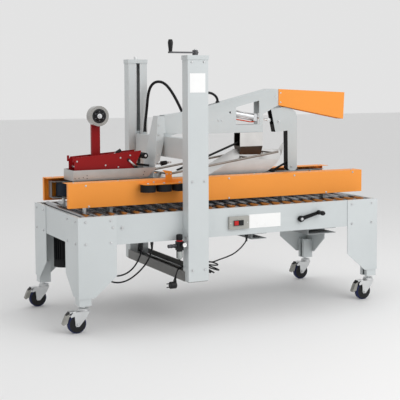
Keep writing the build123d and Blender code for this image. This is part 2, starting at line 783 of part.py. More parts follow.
def press_wheels():
    wheels = []
    top = PRESS_PLATE_Z - 2
    for x in press_xs():
        wheel = rod_z(x, -PRESS_WHEEL_Y, top - PRESS_WHEEL_HEIGHT, top, PRESS_WHEEL_RADIUS)
        wheel -= rod_z(x, -PRESS_WHEEL_Y, top - PRESS_WHEEL_HEIGHT - 1, top + 1, 6 + RUNNING_GAP)
        wheels.append(wheel)
    return Compound(wheels)


# Head
def cross_beam():
    half = CROSS_BEAM_WIDTH / 2
    end = PANEL_OUTER - CROSS_BEAM_END_GAP
    wall = CROSS_BEAM_WALL
    beam = box(COLUMN_X - half, COLUMN_X + half, -end, end, CROSS_BEAM_BOTTOM, CROSS_BEAM_TOP)
    return beam - box(
        COLUMN_X - half + wall,
        COLUMN_X + half - wall,
        -end + wall,
        end - wall,
        CROSS_BEAM_BOTTOM + wall,
        CROSS_BEAM_TOP - wall,
    )


def lift_carriage():
    half = COLUMN_WIDTH / 2 - COLUMN_SHEET - CARRIAGE_GAP
    outer = COLUMN_OUTER - COLUMN_SHEET - CARRIAGE_GAP
    inner = PANEL_OUTER + COLUMN_SHEET + CARRIAGE_GAP
    low = CROSS_BEAM_BOTTOM - CARRIAGE_EXTRA
    high = CROSS_BEAM_TOP + CARRIAGE_EXTRA
    carriage = box(COLUMN_X - half, COLUMN_X + half, -outer, -inner, low, high)
    carriage -= rod_z(COLUMN_X, -SCREW_Y, low - 1, high + 1, SCREW_RADIUS + SCREW_NUT_GAP)
    tongue = TONGUE_WIDTH / 2
    end = PANEL_OUTER - CROSS_BEAM_END_GAP
    return carriage + box(
        COLUMN_X - tongue, COLUMN_X + tongue, -inner, -end, CROSS_BEAM_BOTTOM, CROSS_BEAM_TOP
    )


def beam_top(x):
    """Height of the main beam's top edge at X."""
    if x < BEAM_KNEE_X:
        share = (x - BEAM_LEFT) / (BEAM_KNEE_X - BEAM_LEFT)
        return BEAM_LEFT_TOP + share * (BEAM_KNEE_Z - BEAM_LEFT_TOP)
    share = (x - BEAM_KNEE_X) / (BEAM_PEAK_X - BEAM_KNEE_X)
    return BEAM_KNEE_Z + share * (BEAM_PEAK_Z - BEAM_KNEE_Z)


def wedge_top(x):
    """Height of the wedge guard's top face at X."""
    share = (x - BEAM_TIP_X) / WEDGE_LENGTH
    return BEAM_TIP_Z + share * (WEDGE_END_TOP - BEAM_TIP_Z)


def main_beam():
    tongue = BEAM_TIP_X + BEAM_TONGUE
    tongue_bottom = BEAM_TIP_BOTTOM + BEAM_SHEET
    outline = [
        (BEAM_LEFT, BEAM_LEFT_BOTTOM),
        (BEAM_LEFT, BEAM_LEFT_TOP),
        (BEAM_KNEE_X, BEAM_KNEE_Z),
        (BEAM_PEAK_X, BEAM_PEAK_Z),
        (BEAM_TIP_X, BEAM_TIP_Z),
        (BEAM_TIP_X, BEAM_TIP_Z - WEDGE_SHEET),
        (tongue, wedge_top(tongue) - WEDGE_SHEET),
        (tongue, tongue_bottom),
        (BEAM_TIP_X, BEAM_TIP_BOTTOM),
        (BEAM_NOTCH_X, BEAM_NOTCH_Z),
        (BEAM_NOTCH_X, BEAM_BOTTOM),
        (BEAM_KNEE_X, BEAM_BOTTOM),
    ]
    beam = plate_xz(outline, -BEAM_HALF, BEAM_HALF)
    inner = [
        (BEAM_LEFT - 1, 0),
        (BEAM_LEFT - 1, BEAM_LEFT_TOP - BEAM_SHEET),
        (BEAM_KNEE_X, BEAM_KNEE_Z - BEAM_SHEET),
        (BEAM_PEAK_X, BEAM_PEAK_Z - BEAM_SHEET),
        (BEAM_TIP_X, BEAM_TIP_Z - BEAM_SHEET - WEDGE_SHEET),
        (tongue + 1, wedge_top(tongue + 1) - BEAM_SHEET - WEDGE_SHEET),
        (tongue + 1, 0),
    ]
    inner_half = BEAM_HALF - BEAM_SHEET
    beam -= plate_xz(inner, -inner_half, inner_half)
    window = [
        (WINDOW_LEFT, WINDOW_BOTTOM),
        (WINDOW_RIGHT, WINDOW_BOTTOM),
        (WINDOW_RIGHT, beam_top(WINDOW_RIGHT) - WINDOW_DROP * 2),
        (WINDOW_LEFT, beam_top(WINDOW_LEFT) - WINDOW_DROP * 2),
    ]
    beam -= plate_xz(window, -BEAM_HALF - 1, BEAM_HALF + 1)
    pin = CYLINDER_PIN_RADIUS + RUNNING_GAP
    return beam - rod_y(CYLINDER_PIVOT_X, -BEAM_HALF - 1, BEAM_HALF + 1, CYLINDER_PIVOT_Z, pin)


def beam_saddle():
    half = CROSS_BEAM_WIDTH / 2
    inner = BEAM_HALF - BEAM_SHEET
    right = BEAM_KNEE_X - 30
    low = [
        (COLUMN_X - half, CROSS_BEAM_TOP),
        (COLUMN_X + half, CROSS_BEAM_TOP),
        (right, BEAM_LEFT_BOTTOM),
        (right, BEAM_LEFT_TOP - 30),
        (BEAM_LEFT, BEAM_LEFT_TOP - 30),
        (BEAM_LEFT, BEAM_LEFT_BOTTOM),
    ]
    return plate_xz(low, -inner, inner)


def wedge_guard():
    left = BEAM_TIP_X
    outline = [
        (left, BEAM_TIP_BOTTOM),
        (left, BEAM_TIP_Z),
        (WEDGE_RIGHT, WEDGE_END_TOP),
        (WEDGE_RIGHT - 8, WEDGE_END_BOTTOM),
    ]
    outer = BEAM_HALF + WEDGE_SHEET
    cover = plate_xz(outline, -outer, outer)
    inner = [
        (left - 1, 0),
        (left - 1, wedge_top(left - 1) - WEDGE_SHEET),
        (WEDGE_RIGHT - WEDGE_SHEET, wedge_top(WEDGE_RIGHT - WEDGE_SHEET) - WEDGE_SHEET),
        (WEDGE_RIGHT - 8 - WEDGE_SHEET, WEDGE_END_BOTTOM - 1),
        (WEDGE_RIGHT - 8 - WEDGE_SHEET, 0),
    ]
    return cover - plate_xz(inner, -BEAM_HALF, BEAM_HALF)


# Kicker
def kicker_hanger():
    half = HANGER_HALF_WIDTH
    x0 = KICKER_X - half
    x1 = BEAM_TIP_X + BEAM_TONGUE - BEAM_SHEET
    top = wedge_top(x1) - BEAM_SHEET - WEDGE_SHEET
    plate = box(x0, x1, -HANGER_HALF, HANGER_HALF, KICKER_Z, top)
    plate += rod_y(KICKER_X, -HANGER_HALF, HANGER_HALF, KICKER_Z, half * 0.75)
    boss_half = BEAM_HALF - BEAM_SHEET
    boss_z = top - 24
    plate += rod_y(KICKER_X, -boss_half, boss_half, boss_z, 8)
    return plate - rod_y(
        KICKER_X, -HANGER_HALF - 1, HANGER_HALF + 1, KICKER_Z, KICKER_PIN_RADIUS + RUNNING_GAP
    )


def kicker_edge(rise):
    """Point on the left edge of the kicker's head, at a height over its pivot."""
    drop = KICKER_HEAD_TOP - rise
    slope = KICKER_HEAD_LEAN / (KICKER_HEAD_TOP + KICKER_HEAD_BOTTOM)
    return (KICKER_X - KICKER_HEAD_LEFT + drop * slope, KICKER_Z + rise)


def kicker_outline():
    knee_top = KICKER_Z + KICKER_HEAD_TOP
    return [
        kicker_edge(KICKER_HEAD_TOP),
        (KICKER_X + 38, knee_top + 8),
        (KICKER_X + 86, knee_top - 2),
        (KICKER_LEG_RIGHT - 12, knee_top - 20),
        (KICKER_LEG_RIGHT - 2, knee_top - 48),
        (KICKER_LEG_RIGHT, KICKER_LEG_BOTTOM + 14),
        (KICKER_LEG_RIGHT - 14, KICKER_LEG_BOTTOM),
        (KICKER_LEG_LEFT + 14, KICKER_LEG_BOTTOM),
        (KICKER_LEG_LEFT, KICKER_LEG_BOTTOM + 14),
        (KICKER_LEG_LEFT - 3, KICKER_Z - KICKER_HEAD_BOTTOM + 6),
        kicker_edge(-KICKER_HEAD_BOTTOM),
    ]


def kicker_arm():
    inner = KICKER_HALF - KICKER_SHEET
    cheek = plate_xz(kicker_outline(), inner, KICKER_HALF)
    arm = cheek + flip_y(cheek)
    sheet = KICKER_SHEET
    low = kicker_edge(-KICKER_HEAD_BOTTOM)
    slot = kicker_edge(-KICKER_SLOT_BOTTOM)
    high = kicker_edge(KICKER_HEAD_TOP)
    arm += plate_xz(
        [
            slot,
            low,
            (KICKER_LEG_LEFT - 3, KICKER_Z - KICKER_HEAD_BOTTOM + 6),
            (KICKER_LEG_LEFT, KICKER_LEG_BOTTOM + 14),
            (KICKER_LEG_LEFT + sheet, KICKER_LEG_BOTTOM + 14),
            (KICKER_LEG_LEFT, KICKER_Z - KICKER_HEAD_BOTTOM + 6 + sheet),
            (low[0] + sheet, low[1] + sheet),
            (slot[0] + sheet, slot[1]),
        ],
        -inner,
        inner,
    )
    lip = [high, slot, (slot[0] + sheet, slot[1]), (high[0] + sheet, high[1])]
    arm += plate_xz(lip, KICKER_SLOT_HALF, inner)
    arm += plate_xz(lip, -inner, -KICKER_SLOT_HALF)
    arm += box(
        KICKER_LEG_RIGHT - sheet,
        KICKER_LEG_RIGHT,
        -inner,
        inner,
        KICKER_LEG_BOTTOM + 14,
        KICKER_Z - HANGER_HALF_WIDTH - 10,
    )
    pin = KICKER_HALF + 4
    arm += rod_y(KICKER_X, -pin, pin, KICKER_Z, KICKER_PIN_RADIUS)
    finger_start = (KICKER_LEG_LEFT + 10, 0, KICKER_LEG_BOTTOM + 50)
    finger_end = (KICKER_LEG_LEFT - 90, 0, KICKER_LEG_BOTTOM + 4)
    arm += rod_between(finger_start, finger_end, 6)
    return arm + rod_y(finger_end[0], -14, 14, finger_end[2], 9)


def along_cylinder(distance):
    reach_x = ROD_PIN_X - CYLINDER_PIVOT_X
    reach_z = ROD_PIN_Z - CYLINDER_PIVOT_Z
    length = hypot(reach_x, reach_z)
    x = CYLINDER_PIVOT_X + distance * reach_x / length
    z = CYLINDER_PIVOT_Z + distance * reach_z / length
    return (x, 0, z)


def cylinder_reach():
    return hypot(ROD_PIN_X - CYLINDER_PIVOT_X, ROD_PIN_Z - CYLINDER_PIVOT_Z)


def kicker_cylinder():
    start = CYLINDER_START
    end = start + CYLINDER_LENGTH
    body = rod_between(along_cylinder(start), along_cylinder(end), CYLINDER_RADIUS)
    body += rod_between(along_cylinder(0), along_cylinder(start + 1), CYLINDER_PIN_RADIUS + 4)
    body += rod_y(CYLINDER_PIVOT_X, -BEAM_HALF, BEAM_HALF, CYLINDER_PIVOT_Z, CYLINDER_PIN_RADIUS)
    bore = ROD_RADIUS + RUNNING_GAP
    return body - rod_between(along_cylinder(end - 90), along_cylinder(end + 1), bore)


def cylinder_rod():
    reach = cylinder_reach()
    inside = CYLINDER_START + CYLINDER_LENGTH - 82
    rod = rod_between(along_cylinder(inside), along_cylinder(reach), ROD_RADIUS)
    rod += rod_y(ROD_PIN_X, -8, 8, ROD_PIN_Z, ROD_EYE_RADIUS)
    return rod + rod_y(ROD_PIN_X, -10, 10, ROD_PIN_Z, CYLINDER_PIN_RADIUS)


# Plough
def plough_side():
    """Side outline of the plough along its middle, up to its ridge."""
    start = (PLOUGH_FLAT_END, PLOUGH_BOTTOM)
    end = (PLOUGH_TIP_X, PLOUGH_TIP_Z)
    middle = (
        PLOUGH_FLAT_END + (end[0] - start[0]) * 0.66,
        start[1] + (end[1] - start[1]) * 0.32,
    )
    wire = Line((PLOUGH_LEFT - PLOUGH_RAKE, PLOUGH_BOTTOM), start)
    wire += ThreePointArc(start, middle, end)
    wire += Polyline(
        end,
        (end[0] - 5, end[1]),
        (end[0] - 20, PLOUGH_NOSE_TOP),
        (PLOUGH_CREST_X, PLOUGH_CREST_Z),
        (PLOUGH_SHOULDER_X, PLOUGH_SHOULDER_Z),
        (PLOUGH_LEFT, PLOUGH_LEFT_TOP),
        (PLOUGH_LEFT - PLOUGH_RAKE, PLOUGH_LEFT_TOP),
        (PLOUGH_LEFT - PLOUGH_RAKE, PLOUGH_BOTTOM),
    )
    return Plane.XZ * make_face(wire)


def plough():
    """Hull whose roof and nose fall back from its middle to both sides."""
    side = plough_side()
    wall_way = Vector(-PLOUGH_RAKE, -PLOUGH_HALF, 0)
    roof_way = Vector(-PLOUGH_RAKE, -PLOUGH_HALF, -PLOUGH_ROOF_DROP)
    wall = extrude(side, wall_way.length, dir=wall_way)
    roof = extrude(side, roof_way.length, dir=roof_way)
    right = PLOUGH_TIP_X + PLOUGH_RAKE
    half = wall & roof
    half &= box(PLOUGH_LEFT, right, -PLOUGH_HALF, 0, PLOUGH_BOTTOM, PLOUGH_TIP_Z)
    return half + flip_y(half)


def bracket_neck():
    top = Plane.XY.offset(BRACKET_SHOULDER)
    low = Plane.XY.offset(BRACKET_SHOULDER - BRACKET_NECK_DEPTH)
    width = BRACKET_RIGHT - BRACKET_LEFT
    middle = (BRACKET_LEFT + BRACKET_RIGHT) / 2
    wide = top * Pos(middle, 0) * Rectangle(width, 2 * BRACKET_HALF)
    narrow = low * Pos(middle, 0) * Rectangle(width * 0.9, 2 * BRACKET_NECK_HALF)
    return loft([wide, narrow])


def plough_bracket():
    outer = box(
        BRACKET_LEFT, BRACKET_RIGHT, -BRACKET_HALF, BRACKET_HALF, BRACKET_SHOULDER, BEAM_BOTTOM
    )
    inner = BRACKET_HALF - BRACKET_SHEET
    shell = outer - box(
        BRACKET_LEFT - 1,
        BRACKET_RIGHT - BRACKET_SHEET,
        -inner,
        inner,
        BRACKET_SHOULDER + BRACKET_SHEET,
        BEAM_BOTTOM - BRACKET_SHEET,
    )
    bracket = shell + bracket_neck()
    stay_low = (-STAY_LEFT, 0, STAY_LOW)
    bracket += rod_between(stay_low, (BRACKET_LEFT + 8, 0, STAY_HIGH), FLAP_ROD_RADIUS)
    return bracket - plough()


def flap_rods():
    left = PLOUGH_LEFT + FLAP_ROD_LEFT
    right = PLOUGH_TIP_X - FLAP_ROD_RIGHT
    low = (left, -FLAP_ROD_Y, PLOUGH_BOTTOM + FLAP_ROD_LOW)
    high = (right, -FLAP_ROD_Y, PLOUGH_BOTTOM + FLAP_ROD_HIGH)
    rods = rod_between(low, high, FLAP_ROD_RADIUS)
    rods += flip_y(rods)
    thin = FLAP_ROD_RADIUS * 0.8
    rods += rod_y(left + 8, -FLAP_ROD_Y, FLAP_ROD_Y, low[2] - 3, thin)
    for share in (0.72, 0.95):
        x = left + (right - left) * share
        z = low[2] + (high[2] - low[2]) * share
        rods += rod_y(x, -FLAP_ROD_Y, FLAP_ROD_Y, z, thin)
    return solids_of(rods - plough() - plough_bracket())


# Taping unit
def tape_channel():
    points = channel_points(0, 1, -CHANNEL_HALF, CHANNEL_HALF, 0, 0, CHANNEL_SHEET)
    height = CHANNEL_TOP - CHANNEL_BOTTOM
    walls = box(
        CHANNEL_LEFT, CHANNEL_RIGHT, -CHANNEL_HALF, CHANNEL_HALF, CHANNEL_BOTTOM, CHANNEL_TOP
    )
    sheet = CHANNEL_SHEET
    walls -= box(
        CHANNEL_LEFT + sheet,
        CHANNEL_RIGHT + 1,
        -CHANNEL_HALF + sheet,
        CHANNEL_HALF - sheet,
        CHANNEL_BOTTOM + sheet,
        CHANNEL_TOP + 1,
    )
    slot_half = TAPE_HALF - TAPE_SHEET - 2
    walls -= box(
        TAPE_LEFT + 10,
        TAPE_RIGHT - 10,
        -slot_half,
        slot_half,
        CHANNEL_BOTTOM - 1,
        CHANNEL_BOTTOM + sheet + 1,
    )
    corner = [
        (CHANNEL_RIGHT - CHANNEL_END_CUT, CHANNEL_BOTTOM - 1),
        (CHANNEL_RIGHT + 1, CHANNEL_TOP - height * 0.1),
        (CHANNEL_RIGHT + 1, CHANNEL_BOTTOM - 1),
    ]
    return walls - plate_xz(corner, -CHANNEL_HALF - 1, CHANNEL_HALF + 1)


def tape_hanger():
    lean = (HANGER_BOTTOM_X - HANGER_TOP_X) / (HANGER_TOP_Z - HANGER_WIDE_Z)
    low = CHANNEL_BOTTOM + CHANNEL_SHEET
    inner = CHANNEL_HALF - CHANNEL_SHEET
    face = [
        (-HANGER_TOP_HALF, HANGER_TOP_Z),
        (HANGER_TOP_HALF, HANGER_TOP_Z),
        (CHANNEL_HALF, HANGER_WIDE_Z),
        (CHANNEL_HALF, CHANNEL_TOP),
        (inner, CHANNEL_TOP),
        (inner, low),
        (-inner, low),
        (-inner, CHANNEL_TOP),
        (-CHANNEL_HALF, CHANNEL_TOP),
        (-CHANNEL_HALF, HANGER_WIDE_Z),
    ]

    def at(z):
        return HANGER_TOP_X + lean * (HANGER_TOP_Z - z)

    blank = plate_yz(face, HANGER_BOTTOM_X - 60, HANGER_TOP_X + 60)
    sheet = HANGER_PLATE_SHEET
    slab = plate_xz(
        [
            (at(HANGER_TOP_Z), HANGER_TOP_Z),
            (at(HANGER_TOP_Z) + sheet, HANGER_TOP_Z),
            (at(low) + sheet, low),
            (at(low), low),
        ],
        -CHANNEL_HALF,
        CHANNEL_HALF,
    )
    plate = blank & slab
    side = [
        (at(HANGER_TOP_Z), HANGER_TOP_Z),
        (BEAM_LEFT, HANGER_TOP_Z),
        (BEAM_LEFT, BEAM_LEFT_BOTTOM),
        (CROSS_BEAM_LEFT, BEAM_LEFT_BOTTOM),
        (CROSS_BEAM_LEFT, CROSS_BEAM_TOP - 20),
        (at(HANGER_WIDE_Z) + HANGER_SIDE_WIDTH, HANGER_WIDE_Z + 20),
        (at(HANGER_WIDE_Z) + sheet, HANGER_WIDE_Z),
        (at(HANGER_WIDE_Z), HANGER_WIDE_Z),
    ]
    wide = plate_xz(side, -CHANNEL_HALF, CHANNEL_HALF)
    trimmed = blank & wide
    hollow_face = [
        (-HANGER_TOP_HALF + sheet, HANGER_TOP_Z + 1),
        (HANGER_TOP_HALF - sheet, HANGER_TOP_Z + 1),
        (CHANNEL_HALF - sheet, HANGER_WIDE_Z),
        (CHANNEL_HALF - sheet, low - 1),
        (-CHANNEL_HALF + sheet, low - 1),
        (-CHANNEL_HALF + sheet, HANGER_WIDE_Z),
    ]
    hollow = plate_yz(hollow_face, HANGER_BOTTOM_X - 60, HANGER_TOP_X + 60)
    return plate + (trimmed - hollow)


def tape_unit_plate():
    low = CHANNEL_BOTTOM + CHANNEL_SHEET
    outline = [
        (TAPE_LEFT, low),
        (TAPE_LEFT, TAPE_LEFT_TOP - 20),
        (TAPE_LEFT + 9, TAPE_LEFT_TOP),
        (TAPE_RIGHT, TAPE_RIGHT_TOP),
        (TAPE_RIGHT - 8, TAPE_RIGHT_TOP - 22),
        (TAPE_RIGHT - 30, CHANNEL_TOP + 24),
        (TAPE_RIGHT - 30, low),
    ]
    plate = plate_xz(outline, -TAPE_HALF, -TAPE_HALF + TAPE_SHEET)
    return plate


def tape_unit_plates():
    """Side plates, joined by a cross rod that carries the front roller's arm."""
    plates = tape_unit_plate() + flip_y(tape_unit_plate())
    rod_x = TAPE_RIGHT - 42
    rod_z0 = TAPE_RIGHT_TOP - 24
    plates += rod_y(rod_x, -TAPE_HALF + TAPE_SHEET / 2, TAPE_HALF - TAPE_SHEET / 2, rod_z0, 6)
    half = FRONT_ROLLER_RADIUS * 0.6
    arm = plate_xz(
        [
            (rod_x, rod_z0 + half),
            (FRONT_ROLLER_X + half / 2, FRONT_ROLLER_Z + half),
            (FRONT_ROLLER_X + half, FRONT_ROLLER_Z),
            (FRONT_ROLLER_X + half / 2, FRONT_ROLLER_Z - half),
            (rod_x, rod_z0 - half),
        ],
        -FRONT_ARM_HALF,
        FRONT_ARM_HALF,
    )
    bore = ROLLER_CLEARANCE + RUNNING_GAP
    arm -= rod_y(FRONT_ROLLER_X, -TAPE_HALF, TAPE_HALF, FRONT_ROLLER_Z, bore)
    return plates + arm


def front_roller():
    """Two drums on one axle, one each side of the arm."""
    gap = FRONT_ARM_HALF + 1
    drum = rod_y(FRONT_ROLLER_X, gap, TAPE_HALF, FRONT_ROLLER_Z, FRONT_ROLLER_RADIUS)
    end = TAPE_HALF + ROLLER_CLEARANCE
    axle = rod_y(FRONT_ROLLER_X, -end, end, FRONT_ROLLER_Z, ROLLER_CLEARANCE)
    return drum + flip_y(drum) + axle


def tape_rollers():
    inner = TAPE_HALF - TAPE_SHEET
    rollers = []
    for x, z, radius in TAPE_ROLLERS:
        roller = rod_y(x, -inner + ROLLER_CLEARANCE, inner - ROLLER_CLEARANCE, z, radius)
        rollers.append(roller + rod_y(x, -inner, inner, z, ROLLER_CLEARANCE))
    return Compound(rollers + [front_roller()])


def reel_arm():
    half = REEL_ARM_WIDTH / 2
    back = REEL_ARM_FRONT + REEL_ARM_DEPTH
    arm = box(
        REEL_X - half, REEL_X + half, REEL_ARM_FRONT, back, REEL_ARM_BOTTOM, REEL_ARM_TOP - half
    )
    arm += rod_y(REEL_X, REEL_ARM_FRONT, back, REEL_ARM_TOP - half, half)
    arm += box(
        REEL_X - half, REEL_X + half, back, TAPE_HALF - TAPE_SHEET, REEL_ARM_BOTTOM, TAPE_LEFT_TOP - 10
    )
    return arm + rod_y(REEL_X, REEL_FRONT - 10, REEL_ARM_FRONT, REEL_Z, REEL_SHAFT_RADIUS)


def tape_roll():
    back = REEL_FRONT + REEL_WIDTH
    roll = rod_y(REEL_X, REEL_FRONT, back, REEL_Z, REEL_RADIUS)
    return roll - rod_y(REEL_X, REEL_FRONT - 1, back + 1, REEL_Z, REEL_CORE_RADIUS)


def reel_hub():
    back = REEL_FRONT + REEL_WIDTH
    hub = rod_y(REEL_X, REEL_FRONT, back, REEL_Z, REEL_CORE_RADIUS)
    return hub - rod_y(REEL_X, REEL_FRONT - 1, back + 1, REEL_Z, REEL_SHAFT_RADIUS + RUNNING_GAP)


# Casters, drawn round a swivel axis at the origin with the wheel trailing towards -X
def caster_fork():
    cheek_inner = WHEEL_WIDTH / 2 + FORK_GAP
    cheek_outer = cheek_inner + FORK_SHEET
    outline = [
        (-CASTER_TRAIL - 12, WHEEL_RADIUS),
        (-CASTER_TRAIL - 8, WHEEL_RADIUS - 11),
        (-CASTER_TRAIL + 8, WHEEL_RADIUS - 11),
        (10, WHEEL_RADIUS + 34),
        (24, FORK_TOP),
        (-CASTER_TRAIL - 22, FORK_TOP),
        (-CASTER_TRAIL - 38, FORK_TOP - 16),
        (-CASTER_TRAIL - 34, FORK_TOP - 24),
        (-CASTER_TRAIL - 16, FORK_TOP - 20),
    ]
    fork = both_sides(plate_xz(outline, -cheek_outer, -cheek_inner))
    crown = box(-CASTER_TRAIL - 22, 24, -cheek_outer, cheek_outer, FORK_TOP - FORK_SHEET, FORK_TOP)
    fork = fork.solids()[0] + crown + fork.solids()[1]
    fork += rod_z(0, 0, FORK_TOP - 1, FORK_TOP + 14, CASTER_HEAD_RADIUS)
    fork += rod_z(0, 0, FORK_TOP + 10, FOOT_BOTTOM, CASTER_STEM_RADIUS)
    fork += rod_y(-CASTER_TRAIL, -cheek_outer, cheek_outer, WHEEL_RADIUS, WHEEL_AXLE_RADIUS)
    tip = -CASTER_TRAIL - PEDAL_REACH
    pedal = [
        (-CASTER_TRAIL - 8, FORK_TOP - 1),
        (tip + 36, FORK_TOP - 6),
        (tip + 24, FORK_TOP - 52),
        (tip + 4, FORK_TOP - 62),
        (tip, FORK_TOP - 56),
        (tip + 18, FORK_TOP - 14),
        (tip + 34, FORK_TOP + 2),
        (-CASTER_TRAIL - 8, FORK_TOP + 4),
    ]
    return fork + plate_xz(pedal, -14, 14)


def caster_wheel():
    half = WHEEL_WIDTH / 2
    crown = WHEEL_RADIUS - 6
    outline = Polyline(
        (0, -half),
        (crown, -half),
        (WHEEL_RADIUS, 6 - half),
        (WHEEL_RADIUS, half - 6),
        (crown, half),
        (0, half),
        (0, -half),
    )
    wheel = revolve(Plane.XZ * make_face(outline), Axis.Z)
    wheel -= rod_z(0, 0, -half - 1, half + 1, WHEEL_AXLE_RADIUS + RUNNING_GAP)
    return Pos(-CASTER_TRAIL, 0, WHEEL_RADIUS) * Rot(90, 0, 0) * wheel


# Electrical and air fittings
def switch_box():
    right = SWITCH_LEFT + SWITCH_WIDTH
    top = SWITCH_BOTTOM + SWITCH_HEIGHT
    front = -PANEL_OUTER - SWITCH_DEPTH
    body = box(SWITCH_LEFT, right, front, -PANEL_OUTER, SWITCH_BOTTOM, top)
    body = fillet(body.edges().filter_by(Axis.Y), 4)
    middle = (SWITCH_BOTTOM + top) / 2
    rocker_left = SWITCH_LEFT + SWITCH_WIDTH * 0.2
    rocker_right = rocker_left + SWITCH_WIDTH * 0.5
    return body + box(rocker_left, rocker_right, front - 5, front, middle - 14, middle + 14)


def regulator_x():
    return COLUMN_X - COLUMN_WIDTH / 2 - REGULATOR_GAP - REGULATOR_SIZE / 2


def filter_regulator():
    x = regulator_x()
    half = REGULATOR_SIZE / 2
    top = REGULATOR_BOTTOM + REGULATOR_HEIGHT
    y0 = REGULATOR_Y - half
    y1 = REGULATOR_Y + half
    body = box(x - half, x + half, y0, y1, REGULATOR_BOTTOM, top)
    body = fillet(body.edges().filter_by(Axis.Z), 4)
    body += rod_z(x, REGULATOR_Y, top, top + KNOB_HEIGHT, KNOB_RADIUS)
    column_face = COLUMN_X - COLUMN_WIDTH / 2
    body += box(x, column_face, REGULATOR_Y - 12, REGULATOR_Y + 12, top - 8, top - 4)
    body += box(column_face - 3, column_face, REGULATOR_Y - 12, REGULATOR_Y + 12, top - 30, top + 20)
    middle = (REGULATOR_BOTTOM + top) / 2
    body += rod_x(x - half - 46, x, REGULATOR_Y, middle, 9)
    body += rod_y(x + half - 6, y0 - 8, REGULATOR_Y, middle + 8, 5)
    return body + rod_y(x + half - 6, y0 - 22, y0 - 6, middle + 8, 13)


def filter_bowl():
    bowl = rod_z(
        regulator_x(), REGULATOR_Y, REGULATOR_BOTTOM - BOWL_LENGTH, REGULATOR_BOTTOM, BOWL_RADIUS
    )
    return fillet(bowl.edges().group_by(Axis.Z)[0], BOWL_RADIUS * 0.5)


# Free cords and hoses: chosen points, joined by arcs as large as their runs allow
GLAND_RADIUS = 8.0
MOTOR_CABLE_A = [
    (-545, -345, 413),
    (-545, -345, 391),
    (-552, -344, 362),
    (-567, -343, 329),
    (-592, -342, 297),
    (-625, -337, 273),
    (-662, -322, 261),
    (-690, -294, 263),
    (-706, -262, 273),
    (-713, -230, 288),
    (-714, -198, 304),
]
MOTOR_CABLE_B = [
    (-489, -345, 413),
    (-489, -345, 391),
    (-498, -344, 356),
    (-517, -343, 321),
    (-545, -341, 289),
    (-581, -338, 259),
    (-622, -334, 236),
    (-662, -322, 227),
    (-692, -298, 231),
    (-710, -264, 245),
    (-715, -230, 263),
    (-714, -198, 282),
]


def with_panel(route):
    """Points that keep their distance from the front panel, where they were drawn."""
    shift = DRAWN_PANEL_OUTER - PANEL_OUTER
    return [(x, y + shift, z) for x, y, z in route]


POWER_CORD = with_panel([
    (55, -345, 413),
    (54, -345, 392),
    (40, -345, 374),
    (18, -344, 352),
    (-14, -343, 330),
    (-46, -342, 317),
    (-82, -342, 308),
    (-114, -346, 302),
    (-142, -348, 295),
])
PLUG_CORD = with_panel([
    (-177, -349, 254),
    (-196, -350, 267),
    (-214, -346, 277),
    (-236, -339, 283),
    (-264, -335, 285),
    (-294, -336, 285),
    (-322, -343, 284),
    (-345, -362, 285),
    (-362, -380, 279),
    (-375, -392, 265),
    (-383, -398, 248),
    (-388, -400, 230),
])
CONTROL_HOSE = [
    (-242, 318, 947),
    (-242, 318, 980),
    (-235, 318, 1032),
    (-228, 317, 1090),
    (-225, 311, 1150),
    (-218, 298, 1198),
    (-203, 281, 1225),
    (-184, 260, 1234),
    (-163, 234, 1228),
    (-145, 204, 1203),
    (-128, 172, 1160),
    (-113, 140, 1109),
    (-101, 115, 1062),
    (-92, 93, 1025),
    (-85, 69, 1001),
    (-85, 46, 1001),
]
AIR_HOSE = [
    (-58, 0, 1096),
    (-58, 0, 1122),
    (-50, 0, 1148),
    (-28, 0, 1165),
    (2, 0, 1171),
    (32, 0, 1165),
    (54, 0, 1148),
    (62, 0, 1132),
    (62, 0, 1121),
]


def bend_radii(points):
    radii = []
    for before, corner, after in zip(points, points[1:], points[2:]):
        first = Vector(*corner) - Vector(*before)
        second = Vector(*after) - Vector(*corner)
        half_turn = radians(first.get_angle(second)) / 2
        radii.append(BEND_SHARE * min(first.length, second.length) / tan(half_turn))
    return radii


def cord_tube(name, points, diameter):
    radii = bend_radii(points)
    path = FilletPolyline(*points, radius=radii)
    print(name, "length", round(path.length), "radii", [round(radius) for radius in radii])
    start = Plane(origin=path @ 0, z_dir=path % 0)
    return sweep(start * Circle(diameter / 2), path=path)


PLUG_BACK = 6.5
PLUG_DEPTH = 35.0
PLUG_RADIUS = 18.0
PLUG_ROUNDING = 4.0
PLUG_NECK = 6.0
PLUG_PIN_LENGTH = 17.0
PLUG_PIN_RADIUS = 2.4
PLUG_PIN_SPREAD = 9.0
# Loose turns of the power cord: height at the tie, length, half width and lean
HANK_TIE_X = 1.5
HANK_TIE_Y = 40.0
HANK_HOOK_Z = 309.0
HANK_HOOK_RADIUS = 3.0
HANK_TURNS = [
    (300.0, 86.0, 32.5, 5.0),
    (291.0, 119.0, 38.0, 17.0),
    (282.0, 115.0, 37.5, 25.0),
    (274.0, 72.0, 29.5, 34.0),
]


def hank_tie():
    return COLUMN_X + COLUMN_WIDTH / 2 + HANK_TIE_X, -PANEL_OUTER + HANK_TIE_Y


def hank_turn(z, length, half, lean):
    radius = CORD_DIAMETER / 2
    middle = length / 2
    ring = Ellipse(middle + radius, half + radius) - Ellipse(middle - radius, half - radius)
    turn = Pos(middle, 0, -radius) * extrude(ring, CORD_DIAMETER)
    x, y = hank_tie()
    return Pos(x, y, z) * Rot(0, lean, 0) * turn


def cord_hank():
    x, y = hank_tie()
    hook_x = x - 5
    hank = box(hook_x - 5, x + 5, y - 3, y + 3, HANK_TURNS[-1][0] - 6, HANK_HOOK_Z + 5)
    for turn in HANK_TURNS:
        hank += hank_turn(*turn)
    return hank - rod_y(hook_x, y - 4, y + 4, HANK_HOOK_Z, HANK_HOOK_RADIUS + RUNNING_GAP)


